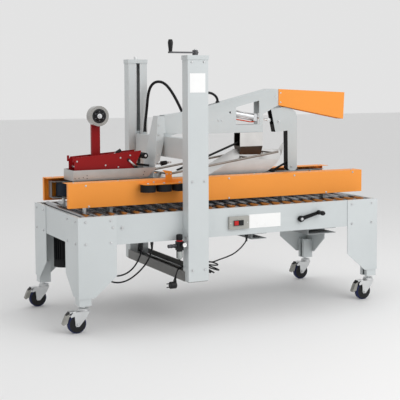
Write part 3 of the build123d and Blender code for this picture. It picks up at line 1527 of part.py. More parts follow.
def cord_hook():
    x, y = hank_tie()
    hook = rod_y(x - 5, -PANEL_OUTER - 1, y + 6, HANK_HOOK_Z, HANK_HOOK_RADIUS)
    return hook + rod_z(x - 5, y + 6, HANK_HOOK_Z - 2, HANK_HOOK_Z + 9, HANK_HOOK_RADIUS)


def power_plug():
    """Angled plug: the cord enters its round body from above and the pins point sideways."""
    x, y, z = PLUG_CORD[-1]
    back = x + PLUG_BACK
    face = back - PLUG_DEPTH
    middle = z - PLUG_NECK - PLUG_RADIUS
    body = rod_x(face, back, y, middle, PLUG_RADIUS)
    body = fillet(body.edges().filter_by(GeomType.CIRCLE), PLUG_ROUNDING)
    half = PLUG_BACK
    body += box(x - half, x + half, y - half, y + half, middle, z)
    for side in (-1, 1):
        pin_z = middle + side * PLUG_PIN_SPREAD
        body += rod_x(face - PLUG_PIN_LENGTH, face + 1, y, pin_z, PLUG_PIN_RADIUS)
    return body


def cable_glands():
    glands = []
    for x, y, z in (MOTOR_CABLE_A[0], MOTOR_CABLE_B[0], POWER_CORD[0]):
        glands.append(rod_z(x, y, z, PANEL_BOTTOM, GLAND_RADIUS))
    return Compound(glands)


def hose_fittings():
    """Where the hoses enter the main beam: two from above and one from behind."""
    fittings = []
    for x, _, z in (AIR_HOSE[0], AIR_HOSE[-1]):
        seat = beam_top(x) - BEAM_SHEET
        fittings.append(rod_z(x, 0, seat, z, AIR_FITTING_RADIUS))
    x, y, z = CONTROL_HOSE[-1]
    fittings.append(rod_y(x, BEAM_HALF - BEAM_SHEET, y, z, HOSE_GLAND_RADIUS))
    return fittings


def hose_gland():
    x, y, z = CONTROL_HOSE[0]
    return rod_z(x, y, CROSS_BEAM_TOP, z, HOSE_GLAND_RADIUS)


def place(shape, x, y):
    return Pos(x, y, 0) * shape


def solids_of(shape):
    return Compound(list(shape.solids()))


def build():
    nodes = {
        "front_side_panel": side_panel(True),
        "rear_side_panel": side_panel(False),
        "end_panels": Compound([end_panel(), flip_x(end_panel())]),
        "legs": four_corners(leg()),
        "table_rollers": table_rollers(),
        "cross_members": cross_members(),
        "guide_shafts": guide_shafts(),
        "lift_columns": Compound([column() + cord_hook(), flip_y(column())]),
        "column_caps": both_sides(column_cap()),
        "chain_tray": chain_tray(),
        "lift_chain": lift_chain(),
        "switch_and_glands": Compound([switch_box(), cable_glands()]),
        "filter_regulator": Compound([filter_regulator(), filter_bowl()]),
        "lift_crank": lift_crank(),
        "rear_lift_screw": lift_screw(1, SCREW_TOP),
        "width_crank": width_crank(),
        "cross_beam": Compound([cross_beam() + hose_gland(), both_sides(lift_carriage())]),
        "main_beam": main_beam() + beam_saddle() + hose_fittings(),
        "wedge_guard": wedge_guard(),
        "kicker_hanger": kicker_hanger(),
        "plough": plough(),
        "plough_bracket": plough_bracket(),
        "flap_rods": flap_rods(),
        "tape_channel": tape_channel(),
        "tape_hanger": tape_hanger(),
        "tape_unit_plates": tape_unit_plates(),
        "tape_rollers": tape_rollers(),
        "reel_arm": reel_arm(),
        "tape_roll": Compound([tape_roll(), reel_hub()]),
        "kicker_arm": kicker_arm(),
        "kicker_cylinder": kicker_cylinder(),
        "cylinder_rod": cylinder_rod(),
        "motor_cable_a": cord_tube("motor_cable_a", MOTOR_CABLE_A, MOTOR_CABLE_DIAMETER),
        "motor_cable_b": cord_tube("motor_cable_b", MOTOR_CABLE_B, MOTOR_CABLE_DIAMETER),
        "power_cord": cord_tube("power_cord", POWER_CORD, CORD_DIAMETER),
        "plug_cord": cord_tube("plug_cord", PLUG_CORD, CORD_DIAMETER),
        "cord_hank": cord_hank(),
        "power_plug": power_plug(),
        "control_hose": cord_tube("control_hose", CONTROL_HOSE, HOSE_DIAMETER),
        "air_hose": cord_tube("air_hose", AIR_HOSE, AIR_TUBE_DIAMETER),
    }
    unit = {
        "guard": guard(),
        "belt_bed": belt_bed(),
        "drive_belt": drive_belt(),
        "belt_drive": belt_drive(),
        "press_bracket": press_bracket(),
        "press_wheels": press_wheels(),
    }
    for name, shape in unit.items():
        nodes["front_" + name] = shape
        nodes["rear_" + name] = flip_y(shape)
    for name, x, y in (
        ("front_left", -CASTER_X, -CASTER_Y),
        ("rear_left", -CASTER_X, CASTER_Y),
        ("front_right", CASTER_X, -CASTER_Y),
        ("rear_right", CASTER_X, CASTER_Y),
    ):
        nodes[name + "_fork"] = place(caster_fork(), x, y)
        nodes[name + "_wheel"] = place(caster_wheel(), x, y)
    return nodes


if __name__ == "__main__":
    os.makedirs("parts", exist_ok=True)
    for name, shape in build().items():
        moved = Pos(-OUTLINE_MIDDLE, 0, 0) * shape
        export_step(moved, "parts/" + name + ".step")
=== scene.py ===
import bpy
import bmesh
import math
from mathutils import Matrix, Vector


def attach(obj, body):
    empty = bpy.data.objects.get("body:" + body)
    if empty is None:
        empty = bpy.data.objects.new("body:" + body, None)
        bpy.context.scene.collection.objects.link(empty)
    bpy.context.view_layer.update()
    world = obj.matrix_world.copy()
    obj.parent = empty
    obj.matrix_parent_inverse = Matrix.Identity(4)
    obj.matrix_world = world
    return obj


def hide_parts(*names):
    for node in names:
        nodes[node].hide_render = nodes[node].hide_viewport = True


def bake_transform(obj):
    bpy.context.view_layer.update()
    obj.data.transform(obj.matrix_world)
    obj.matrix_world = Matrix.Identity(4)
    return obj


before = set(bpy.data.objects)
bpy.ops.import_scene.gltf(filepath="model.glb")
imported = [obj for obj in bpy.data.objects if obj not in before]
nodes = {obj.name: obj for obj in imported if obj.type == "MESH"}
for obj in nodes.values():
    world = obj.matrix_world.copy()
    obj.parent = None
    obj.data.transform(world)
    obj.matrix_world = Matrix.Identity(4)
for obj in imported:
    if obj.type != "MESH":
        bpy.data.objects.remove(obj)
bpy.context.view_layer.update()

# All sizes below are millimetres from the roller table's centre, as in the part's source.
# The row frame's origin lies this far to the left of that centre.
SHIFT = 38.0


def mm(x, y, z):
    return Vector(((x + SHIFT) / 1000, y / 1000, z / 1000))


# Camera at the photograph's viewing angle
YAW = math.radians(25.79)
PITCH = math.radians(-4.38)
ROLL = -0.0043195
EYE = (-2392.35, -4769.4, 1205.59)
LENS = 86.78
PICTURE = 400
PICTURE_CENTRE = (193.44, 160.12)
forward = Vector((
    math.sin(YAW) * math.cos(PITCH),
    math.cos(YAW) * math.cos(PITCH),
    math.sin(PITCH),
))
level = Vector((math.cos(YAW), -math.sin(YAW), 0))
lift = level.cross(forward)
right = level * math.cos(ROLL) + lift * math.sin(ROLL)
top = lift * math.cos(ROLL) - level * math.sin(ROLL)
turn = Matrix((right, top, -forward)).transposed().to_4x4()
camera_data = bpy.data.cameras.new("camera")
camera = bpy.data.objects.new("camera", camera_data)
bpy.context.scene.collection.objects.link(camera)
camera.matrix_world = Matrix.Translation(mm(*EYE)) @ turn
camera_data.sensor_width = 36.0
camera_data.lens = LENS
camera_data.shift_x = 0.5 - PICTURE_CENTRE[0] / PICTURE
camera_data.shift_y = PICTURE_CENTRE[1] / PICTURE - 0.5
camera_data.clip_end = 50
bpy.context.scene.camera = camera


# Materials: noise scales, where an edge starts to look worn, and how much rougher gloss varies
CLOUD_SCALE = 3.5
SMEAR_SCALE = 14.0
PEEL_SCALE = 900.0
PEEL_DEPTH = 0.0004
GRAIN_SCALE = 60.0
METAL_CLOUD_SCALE = 6.0
PLASTIC_CLOUD_SCALE = 20.0
FINE_DEPTH = 0.0003
WORN_FROM = 0.53
WORN_FULL = 0.66
WORN_SHARE = 0.35
SMOOTHER = 0.06
ROUGHER = 0.08
METAL_SMOOTHER = 0.08
METAL_ROUGHER = 0.12
COAT_ROUGHNESS = 0.18
ANISOTROPY = 0.45
TONE_LOW = 0.3
TONE_HIGH = 0.7


def new_material(name, colour, roughness, metallic=0.0):
    material = bpy.data.materials.new(name)
    material.use_nodes = True
    shader = material.node_tree.nodes["Principled BSDF"]
    shader.inputs["Base Color"].default_value = (*colour, 1)
    shader.inputs["Roughness"].default_value = roughness
    shader.inputs["Metallic"].default_value = metallic
    return material, material.node_tree, shader


def coordinates(tree, scale=(1, 1, 1)):
    place = tree.nodes.new("ShaderNodeTexCoord")
    mapping = tree.nodes.new("ShaderNodeMapping")
    mapping.inputs["Scale"].default_value = scale
    tree.links.new(place.outputs["Object"], mapping.inputs["Vector"])
    return mapping.outputs["Vector"]


def noise(tree, vector, scale, detail=3.0, rough=0.5):
    node = tree.nodes.new("ShaderNodeTexNoise")
    node.inputs["Scale"].default_value = scale
    node.inputs["Detail"].default_value = detail
    node.inputs["Roughness"].default_value = rough
    tree.links.new(vector, node.inputs["Vector"])
    return node.outputs["Fac"]


def ramp(tree, value, stops):
    node = tree.nodes.new("ShaderNodeValToRGB")
    elements = node.color_ramp.elements
    while len(elements) < len(stops):
        elements.new(0.5)
    for element, (place, colour) in zip(elements, stops):
        element.position = place
        element.color = (*colour, 1)
    tree.links.new(value, node.inputs["Fac"])
    return node.outputs["Color"]


def spread(tree, value, low, high):
    node = tree.nodes.new("ShaderNodeMapRange")
    node.inputs["From Min"].default_value = 0.25
    node.inputs["From Max"].default_value = 0.75
    node.inputs["To Min"].default_value = low
    node.inputs["To Max"].default_value = high
    tree.links.new(value, node.inputs["Value"])
    return node.outputs["Result"]


def bump(tree, shader, height, strength, distance):
    node = tree.nodes.new("ShaderNodeBump")
    node.inputs["Strength"].default_value = strength
    node.inputs["Distance"].default_value = distance
    tree.links.new(height, node.inputs["Height"])
    tree.links.new(node.outputs["Normal"], shader.inputs["Normal"])


def worn(tree, colour, edge, amount):
    """Colour with a lighter edge where the mesh turns sharply outward."""
    geometry = tree.nodes.new("ShaderNodeNewGeometry")
    edges = tree.nodes.new("ShaderNodeMapRange")
    edges.inputs["From Min"].default_value = WORN_FROM
    edges.inputs["From Max"].default_value = WORN_FULL
    edges.inputs["To Max"].default_value = amount
    tree.links.new(geometry.outputs["Pointiness"], edges.inputs["Value"])
    mix = tree.nodes.new("ShaderNodeMix")
    mix.data_type = "RGBA"
    mix.inputs["B"].default_value = (*edge, 1)
    tree.links.new(edges.outputs["Result"], mix.inputs["Factor"])
    tree.links.new(colour, mix.inputs["A"])
    return mix.outputs["Result"]


def clouded(tree, value, colour, shift):
    """Colour that drifts between a darker and a lighter tone of itself."""
    low = tuple(c * (1 - shift) for c in colour)
    high = tuple(min(1.0, c * (1 + shift)) for c in colour)
    return ramp(tree, value, [(TONE_LOW, low), (TONE_HIGH, high)])


def paint(name, colour, roughness, peel=0.12, shift=0.04, coat=0.0, edge=None, shine=0.5):
    """Powder coat: orange-peel bump, faint cloudy shade and slightly uneven gloss."""
    material, tree, shader = new_material(name, colour, roughness)
    vector = coordinates(tree)
    shade = clouded(tree, noise(tree, vector, CLOUD_SCALE, 4.0), colour, shift)
    if edge:
        shade = worn(tree, shade, edge, WORN_SHARE)
    tree.links.new(shade, shader.inputs["Base Color"])
    smear = noise(tree, vector, SMEAR_SCALE, 5.0)
    gloss = spread(tree, smear, roughness - SMOOTHER, roughness + ROUGHER)
    tree.links.new(gloss, shader.inputs["Roughness"])
    shader.inputs["Specular IOR Level"].default_value = shine
    shader.inputs["Coat Weight"].default_value = coat
    shader.inputs["Coat Roughness"].default_value = COAT_ROUGHNESS
    bump(tree, shader, noise(tree, vector, PEEL_SCALE, 2.0), peel, PEEL_DEPTH)
    return material


def brushed(name, colour, roughness, grain, shift=0.12, strength=0.18):
    """Metal with a grain stretched along one axis, a clouded tone and uneven gloss."""
    material, tree, shader = new_material(name, colour, roughness, 1.0)
    vector = coordinates(tree, grain)
    lines = noise(tree, vector, GRAIN_SCALE, 4.0, 0.7)
    cloud = noise(tree, coordinates(tree), METAL_CLOUD_SCALE, 3.0)
    tree.links.new(clouded(tree, cloud, colour, shift), shader.inputs["Base Color"])
    gloss = spread(tree, lines, roughness - METAL_SMOOTHER, roughness + METAL_ROUGHER)
    tree.links.new(gloss, shader.inputs["Roughness"])
    shader.inputs["Anisotropic"].default_value = ANISOTROPY
    bump(tree, shader, lines, strength, FINE_DEPTH)
    return material


def plastic(name, colour, roughness, grain=400.0, strength=0.15, shift=0.15, shine=0.5):
    """Moulded or drawn plastic and rubber, with a fine grain and a clouded tone."""
    material, tree, shader = new_material(name, colour, roughness)
    shader.inputs["Specular IOR Level"].default_value = shine
    vector = coordinates(tree)
    cloud = noise(tree, vector, PLASTIC_CLOUD_SCALE, 4.0)
    tree.links.new(clouded(tree, cloud, colour, shift), shader.inputs["Base Color"])
    gloss = spread(tree, cloud, roughness - SMOOTHER, roughness + ROUGHER)
    tree.links.new(gloss, shader.inputs["Roughness"])
    bump(tree, shader, noise(tree, vector, grain, 2.0), strength, FINE_DEPTH)
    return material


GREY = paint("grey_powder_coat", (0.52, 0.555, 0.56), 0.40, edge=(0.70, 0.73, 0.74))
# The same grey coat darkened as painted shade, for the cross members and belt beds inside the
# machine.
GREY_SHADED = paint("grey_powder_coat_painted_shade", (0.27, 0.285, 0.29), 0.46)
# The chain tray's dark grey paint, darkened further as painted shade from the table above it.
TRAY_GREY_AND_SHADE = paint("grey_tray_paint_and_painted_shade", (0.125, 0.122, 0.115), 0.46, edge=(0.24, 0.24, 0.23))
ORANGE = paint("orange_powder_coat", (0.86, 0.275, 0.022), 0.42, edge=(0.95, 0.42, 0.12), shine=0.2)
RED = paint(
    "dark_red_enamel", (0.25, 0.005, 0.007), 0.36, coat=0.05, edge=(0.40, 0.025, 0.025), shine=0.12,
)
# Black powder coat for the black parts, also used as black painted shade in the columns' slots and
# inside the kicker channel.
BLACK_PAINT_AND_SHADE = paint(
    "black_powder_coat_and_painted_shade", (0.008, 0.008, 0.0085), 0.50, edge=(0.04, 0.04, 0.04), shine=0.15,
)
MOTOR = paint(
    "black_motor_enamel", (0.006, 0.0065, 0.0075), 0.44, edge=(0.03, 0.03, 0.03), shine=0.15,
)
STAINLESS = brushed("brushed_stainless", (0.70, 0.695, 0.685), 0.36, (1, 14, 14))
STAINLESS_DULL = brushed("brushed_stainless_dull", (0.50, 0.495, 0.485), 0.36, (1, 14, 14))
STAINLESS_DOWN = brushed("brushed_stainless_upright", (0.66, 0.65, 0.635), 0.36, (14, 14, 1))
STAINLESS_DARK = brushed("stainless_in_shade", (0.075, 0.062, 0.052), 0.34, (14, 14, 1))
ZINC = brushed("zinc_plated_steel", (0.70, 0.71, 0.715), 0.40, (3, 3, 3), 0.14)
DARK_STEEL = brushed("blackened_steel", (0.10, 0.10, 0.105), 0.38, (3, 3, 3), 0.2)
ROD_STEEL = brushed("dull_rod_steel", (0.24, 0.22, 0.20), 0.36, (1, 12, 12), 0.15)
CHROME = brushed("ground_steel", (0.80, 0.81, 0.81), 0.22, (12, 1, 12), 0.05, 0.06)
ALUMINIUM = brushed("anodised_aluminium", (0.66, 0.67, 0.68), 0.34, (1, 10, 10), 0.06, 0.1)
# Chrome roller tubes given a dark base colour as a painted reflection of the dark surroundings
# under the table.
ROLLER_DARK_REFLECTION = brushed("roller_tube_painted_dark_reflection", (0.30, 0.30, 0.31), 0.22, (20, 1, 20), 0.1, 0.1)
BLACK_RUBBER = plastic("black_rubber", (0.011, 0.011, 0.012), 0.66, 600.0, 0.3, shine=0.2)
BELT = plastic("belt_rubber", (0.018, 0.026, 0.042), 0.66, 1400.0, 0.5, shine=0.25)
BLACK_PLASTIC = plastic("black_plastic", (0.012, 0.012, 0.013), 0.42, shine=0.25)
CABLE = plastic("cable_jacket", (0.006, 0.006, 0.007), 0.46, 250.0, 0.08, shine=0.2)
TYRE = plastic("blue_black_tyre", (0.012, 0.018, 0.075), 0.46, 300.0, 0.2, shine=0.25)
PEDAL = plastic("grey_pedal_plastic", (0.30, 0.295, 0.27), 0.50, 300.0, 0.15)
SWITCH_GREY = plastic("switch_housing", (0.36, 0.355, 0.33), 0.46, 350.0, 0.12, 0.05)
WHITE = plastic("white_film", (0.88, 0.88, 0.875), 0.30, 100.0, 0.03, 0.015)
RED_PLASTIC = plastic("red_switch_plastic", (0.50, 0.015, 0.015), 0.34, 300.0, 0.05, 0.08, 0.3)
HOSE_RED = plastic("red_air_tube", (0.72, 0.08, 0.02), 0.25, 200.0, 0.04, 0.06)
BOWL = plastic("smoky_clear_plastic", (0.36, 0.38, 0.37), 0.12, 120.0, 0.02, 0.2)


REEL = (-652, -46, 1053)


def tape_material():
    """Clear brown film wound in thin layers: rings on its faces, lines round its rim."""
    material, tree, shader = new_material("wound_tape", (0.42, 0.40, 0.37), 0.16)
    place = tree.nodes.new("ShaderNodeTexCoord")
    mapping = tree.nodes.new("ShaderNodeMapping")
    centre = mm(*REEL)
    mapping.inputs["Location"].default_value = (-centre.x, 0, -centre.z)
    tree.links.new(place.outputs["Object"], mapping.inputs["Vector"])
    wave = tree.nodes.new("ShaderNodeTexWave")
    wave.wave_type = "RINGS"
    wave.rings_direction = "Y"
    wave.inputs["Scale"].default_value = 160.0
    wave.inputs["Distortion"].default_value = 0.6
    tree.links.new(mapping.outputs["Vector"], wave.inputs["Vector"])
    layers = [(0.1, (0.22, 0.215, 0.20)), (0.9, (0.40, 0.395, 0.38))]
    shade = ramp(tree, wave.outputs["Fac"], layers)
    tree.links.new(shade, shader.inputs["Base Color"])
    shader.inputs["Coat Weight"].default_value = 0.6
    shader.inputs["Coat Roughness"].default_value = 0.08
    bump(tree, shader, wave.outputs["Fac"], 0.1, FINE_DEPTH)
    return material


TAPE = tape_material()

CASTER_X = 850
CASTER_Y = 329
AXLE_BACK = 37
AXLE_Z = 47
CORNERS = [
    (("front_" if y < 0 else "rear_") + ("left" if x < 0 else "right"), x, y)
    for x in (-CASTER_X, CASTER_X) for y in (-CASTER_Y, CASTER_Y)
]

NODE_MATERIALS = {
    "front_side_panel": GREY,
    "rear_side_panel": GREY,
    "end_panels": GREY,
    "legs": GREY,
    "table_rollers": ROLLER_DARK_REFLECTION,
    "cross_members": GREY_SHADED,
    "guide_shafts": CHROME,
    "lift_columns": GREY,
    "column_caps": GREY,
    "chain_tray": TRAY_GREY_AND_SHADE,
    "lift_chain": ZINC,
    "switch_and_glands": BLACK_PLASTIC,
    "filter_regulator": BLACK_PLASTIC,
    "lift_crank": ZINC,
    "rear_lift_screw": ZINC,
    "width_crank": ZINC,
    "cross_beam": GREY,
    "main_beam": GREY,
    "wedge_guard": ORANGE,
    "kicker_hanger": GREY,
    "plough": STAINLESS,
    "plough_bracket": STAINLESS_DOWN,
    "flap_rods": ROD_STEEL,
    "tape_channel": STAINLESS_DULL,
    "tape_hanger": GREY,
    "tape_unit_plates": RED,
    "tape_rollers": BLACK_RUBBER,
    "reel_arm": RED,
    "tape_roll": TAPE,
    "kicker_arm": GREY,
    "kicker_cylinder": ALUMINIUM,
    "cylinder_rod": CHROME,
    "power_plug": BLACK_PLASTIC,
}
for side in ("front", "rear"):
    NODE_MATERIALS[side + "_guard"] = ORANGE
    NODE_MATERIALS[side + "_belt_bed"] = GREY_SHADED
    NODE_MATERIALS[side + "_drive_belt"] = BELT
    NODE_MATERIALS[side + "_belt_drive"] = MOTOR
    NODE_MATERIALS[side + "_press_bracket"] = ORANGE
    NODE_MATERIALS[side + "_press_wheels"] = BLACK_RUBBER
for corner, _, _ in CORNERS:
    NODE_MATERIALS[corner + "_fork"] = ZINC
    NODE_MATERIALS[corner + "_wheel"] = TYRE


def dress(node, material):
    obj = nodes[node]
    obj.data.materials.clear()
    obj.data.materials.append(material)
    for face in obj.data.polygons:
        face.material_index = 0


for node, material in NODE_MATERIALS.items():
    dress(node, material)


def part_of(node, material, test):
    """Gives the faces whose centre passes the test a second material."""
    mesh = nodes[node].data
    mesh.materials.append(material)
    index = len(mesh.materials) - 1
    for face in mesh.polygons:
        c = face.center
        if test(c.x * 1000 - SHIFT, c.y * 1000, c.z * 1000):
            face.material_index = index


NECK_TOP = 867
BRACKET_FACE = 184
BRACKET_INSIDE = 34
KICKER_INSIDE = 20.5
KICKER_OUTSIDE = 24
CRANK_GRIP_X = -380
HUB_RADIUS = 38.5
part_of("plough_bracket", STAINLESS_DARK, lambda x, y, z: z < NECK_TOP and x > BRACKET_FACE)
part_of(
    "plough_bracket", STAINLESS_DARK,
    lambda x, y, z: abs(y) < BRACKET_INSIDE and z > NECK_TOP and x > BRACKET_FACE,
)
part_of("plough_bracket", BLACK_PAINT_AND_SHADE, lambda x, y, z: x < BRACKET_FACE)
# Inside faces of the kicker channel: black as painted shade of its dark interior.
part_of("kicker_arm", BLACK_PAINT_AND_SHADE, lambda x, y, z: abs(y) < KICKER_INSIDE)
part_of("kicker_arm", CHROME, lambda x, y, z: abs(y) > KICKER_OUTSIDE)
part_of("lift_crank", BLACK_PLASTIC, lambda x, y, z: z > 1378.5 and x < CRANK_GRIP_X)
part_of("lift_crank", DARK_STEEL, lambda x, y, z: z > 1361 and (z < 1378.5 or x > CRANK_GRIP_X))
part_of("width_crank", BLACK_PAINT_AND_SHADE, lambda x, y, z: y < -361)
part_of("width_crank", BLACK_PLASTIC, lambda x, y, z: y < -379)
part_of("switch_and_glands", SWITCH_GREY, lambda x, y, z: z > 455 and y < -350)
part_of("filter_regulator", BOWL, lambda x, y, z: z < 381.5)
part_of("filter_regulator", ZINC, lambda x, y, z: x > -342)
part_of("filter_regulator", DARK_STEEL, lambda x, y, z: x < -380)
part_of(
    "tape_roll", BLACK_PLASTIC,
    lambda x, y, z: math.hypot(x - REEL[0], z - REEL[2]) < HUB_RADIUS,
)
part_of("tape_rollers", ZINC, lambda x, y, z: abs(y) > 48.5)
part_of("reel_arm", ZINC, lambda x, y, z: y < 7)
part_of("kicker_cylinder", BLACK_PAINT_AND_SHADE, lambda x, y, z: x < 138)
part_of(
    "main_beam", BLACK_PLASTIC,
    lambda x, y, z: (z > 1087 and x < 75 and abs(y) < 11) or y > 33,
)
# The columns' inner slots: black as painted shade, where no light reaches inside.
part_of("lift_columns", BLACK_PAINT_AND_SHADE, lambda x, y, z: 300 < abs(y) < 359)
for side in ("front", "rear"):
    part_of(side + "_belt_drive", ZINC, lambda x, y, z: z > 486)
    part_of(side + "_belt_drive", ALUMINIUM, lambda x, y, z: z > 620)
RIM_RADIUS = 34
PEDAL_REACH = 26
LINK_REACH = 40
PEDAL_TOP = 84
LINK_TOP = 112
for corner, caster_x, _ in CORNERS:
    axle = caster_x - AXLE_BACK
    part_of(
        corner + "_wheel", BLACK_PLASTIC,
        lambda x, y, z, axle=axle: math.hypot(x - axle, z - AXLE_Z) < RIM_RADIUS,
    )
    part_of(
        corner + "_fork", PEDAL,
        lambda x, y, z, axle=axle: x < axle - PEDAL_REACH and z <= PEDAL_TOP,
    )
    part_of(
        corner + "_fork", BLACK_PAINT_AND_SHADE,
        lambda x, y, z, axle=axle: x < axle - LINK_REACH and PEDAL_TOP < z < LINK_TOP,
    )

# Cords, whose routes repeat the source's points
MOTOR_CABLE_A = [
    (-545, -345, 413),
    (-545, -345, 391),
    (-552, -344, 362),
    (-567, -343, 329),
    (-592, -342, 297),
    (-625, -337, 273),
    (-662, -322, 261),
    (-690, -294, 263),
    (-706, -262, 273),
    (-713, -230, 288),
    (-714, -198, 304),
]
MOTOR_CABLE_B = [
    (-489, -345, 413),
    (-489, -345, 391),
    (-498, -344, 356),
    (-517, -343, 321),
    (-545, -341, 289),
    (-581, -338, 259),
    (-622, -334, 236),
    (-662, -322, 227),
    (-692, -298, 231),
    (-710, -264, 245),
    (-715, -230, 263),
    (-714, -198, 282),
]
POWER_CORD = [
    (55, -345, 413),
    (54, -345, 392),
    (40, -345, 374),
    (18, -344, 352),
    (-14, -343, 330),
    (-46, -342, 317),
    (-82, -342, 308),
    (-114, -346, 302),
    (-142, -348, 295),
]
PLUG_CORD = [
    (-177, -349, 254),
    (-196, -350, 267),
    (-214, -346, 277),
    (-236, -339, 283),
    (-264, -335, 285),
    (-294, -336, 285),
    (-322, -343, 284),
    (-345, -362, 285),
    (-362, -380, 279),
    (-375, -392, 265),
    (-383, -398, 248),
    (-388, -400, 230),
]
CONTROL_HOSE = [
    (-242, 318, 947),
    (-242, 318, 980),
    (-235, 318, 1032),
    (-228, 317, 1090),
    (-225, 311, 1150),
    (-218, 298, 1198),
    (-203, 281, 1225),
    (-184, 260, 1234),
    (-163, 234, 1228),
    (-145, 204, 1203),
    (-128, 172, 1160),
    (-113, 140, 1109),
    (-101, 115, 1062),
    (-92, 93, 1025),
    (-85, 69, 1001),
    (-85, 46, 1001),
]
AIR_HOSE = [
    (-58, 0, 1096),
    (-58, 0, 1122),
    (-50, 0, 1148),
    (-28, 0, 1165),
    (2, 0, 1171),
    (32, 0, 1165),
    (54, 0, 1148),
    (62, 0, 1132),
    (62, 0, 1121),
]


def nurbs(name, points, diameter, material):
    curve = bpy.data.curves.new(name, "CURVE")
    curve.dimensions = "3D"
    spline = curve.splines.new("NURBS")
    spline.points.add(len(points) - 1)
    for knot, point in zip(spline.points, points):
        knot.co = (*mm(*point), 1)
    spline.order_u = 3
    spline.use_endpoint_u = True
    spline.resolution_u = 8
    curve.bevel_depth = diameter / 2000
    curve.bevel_resolution = 5
    curve.use_fill_caps = True
    curve.materials.append(material)
    obj = bpy.data.objects.new(name, curve)
    bpy.context.scene.collection.objects.link(obj)
    return obj


def centreline(points):
    """Points on the smooth line of the route, in metres."""
    curve = nurbs("route", points, 0, CABLE)
    curve.data.use_fill_caps = False
    bpy.context.view_layer.update()
    mesh = bpy.data.meshes.new_from_object(curve)
    line = [v.co.copy() for v in mesh.vertices]
    bpy.data.objects.remove(curve)
    return line


def length_of(line):
    return sum((b - a).length for a, b in zip(line, line[1:]))


def tube(name, line, diameter, material, sides=12):
    """Mesh tube along a line of points."""
    mesh = bpy.data.meshes.new(name)
    form = bmesh.new()
    rings = []
    normal = None
    for i, point in enumerate(line):
        ahead = line[min(i + 1, len(line) - 1)] - line[max(i - 1, 0)]
        ahead.normalize()
        if normal is None:
            normal = ahead.orthogonal().normalized()
        normal = (normal - ahead * normal.dot(ahead)).normalized()
        across = ahead.cross(normal)
        ring = []
        for k in range(sides):
            a = 2 * math.pi * k / sides
            offset = normal * math.cos(a) + across * math.sin(a)
            ring.append(form.verts.new(point + offset * diameter / 2000))
        rings.append(ring)
    for first, second in zip(rings, rings[1:]):
        for k in range(sides):
            n = (k + 1) % sides
            form.faces.new((first[k], first[n], second[n], second[k]))
    form.faces.new(list(reversed(rings[0])))
    form.faces.new(rings[-1])
    form.to_mesh(mesh)
    form.free()
    for face in mesh.polygons:
        face.use_smooth = len(face.vertices) == 4
    mesh.materials.append(material)
    obj = bpy.data.objects.new(name, mesh)
    bpy.context.scene.collection.objects.link(obj)
    return obj


MOTOR_CABLE_DIAMETER = 8.0
CORD_DIAMETER = 7.0
HOSE_DIAMETER = 16.0
AIR_TUBE_DIAMETER = 14.0
for name, route, node in (
    ("motor_cable_front", MOTOR_CABLE_A, "motor_cable_a"),
    ("motor_cable_rear", MOTOR_CABLE_B, "motor_cable_b"),
):
    line = centreline(route)
    cable = tube(name, line, MOTOR_CABLE_DIAMETER, CABLE)
    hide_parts(node)
    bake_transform(cable)

# Loose turns of the power cord behind the column: height at the tie, length, half width and lean
HANK_TIE = (-207, -320)
HANK_TURNS = [
    (300.0, 86.0, 32.5, 5.0),
    (291.0, 119.0, 38.0, 17.0),
    (282.0, 115.0, 37.5, 25.0),
    (274.0, 72.0, 29.5, 34.0),
]
HANK_START = 2
HANK_END = 51
STEPS_PER_TURN = 12


def hank_points():
    """Points round the turns, whose sizes run smoothly from each turn to the next."""
    points = []
    last = len(HANK_TURNS) - 1
    for step in range(HANK_START, HANK_END):
        place = min(max(step / STEPS_PER_TURN - 0.5, 0), last)
        first = min(int(place), last - 1)
        share = place - first
        z, length, half, lean = (
            a + (b - a) * share for a, b in zip(HANK_TURNS[first], HANK_TURNS[first + 1])
        )
        angle = 2 * math.pi * step / STEPS_PER_TURN
        reach = length / 2 * (1 + math.cos(angle))
        slope = math.radians(lean)
        points.append((
            HANK_TIE[0] + reach * math.cos(slope),
            HANK_TIE[1] - half * math.sin(angle),
            z - reach * math.sin(slope),
        ))
    return points


power_route = POWER_CORD[:-1] + hank_points() + PLUG_CORD
power = nurbs("power_cord_line", power_route, CORD_DIAMETER, CABLE)
power_length = length_of(centreline(power_route))
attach(power, "table")
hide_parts("power_cord", "plug_cord", "cord_hank")
for name, route, diameter, node in (
    ("control_hose_line", CONTROL_HOSE, HOSE_DIAMETER, "control_hose"),
    ("air_hose_line", AIR_HOSE, AIR_TUBE_DIAMETER, "air_hose"),
):
    hose = nurbs(name, route, diameter, CABLE)
    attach(hose, "head")
    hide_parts(node)
    length_of(centreline(route))


# Mesh helpers
def piece(name, form, material, body):
    mesh = bpy.data.meshes.new(name)
    bmesh.ops.recalc_face_normals(form, faces=form.faces)
    form.to_mesh(mesh)
    form.free()
    materials = material if isinstance(material, (list, tuple)) else [material]
    for each in materials:
        mesh.materials.append(each)
    obj = bpy.data.objects.new(name, mesh)
    bpy.context.scene.collection.objects.link(obj)
    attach(obj, body)
    return obj


def along(axis):
    return Vector((0, 0, 1)).rotation_difference(Vector(axis)).to_matrix().to_4x4()


def add_cone(form, base, axis, r0, r1, height, sides=24, index=0, spin=0.0):
    """Frustum from base along axis, in millimetres of the source's frame."""
    matrix = Matrix.Translation(mm(*base)) @ along(axis) @ Matrix.Rotation(spin, 4, "Z")
    matrix = matrix @ Matrix.Translation((0, 0, height / 2000))
    made = bmesh.ops.create_cone(
        form, cap_ends=True, segments=sides, radius1=r0 / 1000, radius2=r1 / 1000,
        depth=height / 1000, matrix=matrix,
    )
    for face in {f for v in made["verts"] for f in v.link_faces}:
        face.material_index = index
        face.smooth = len(face.verts) == 4
    return made


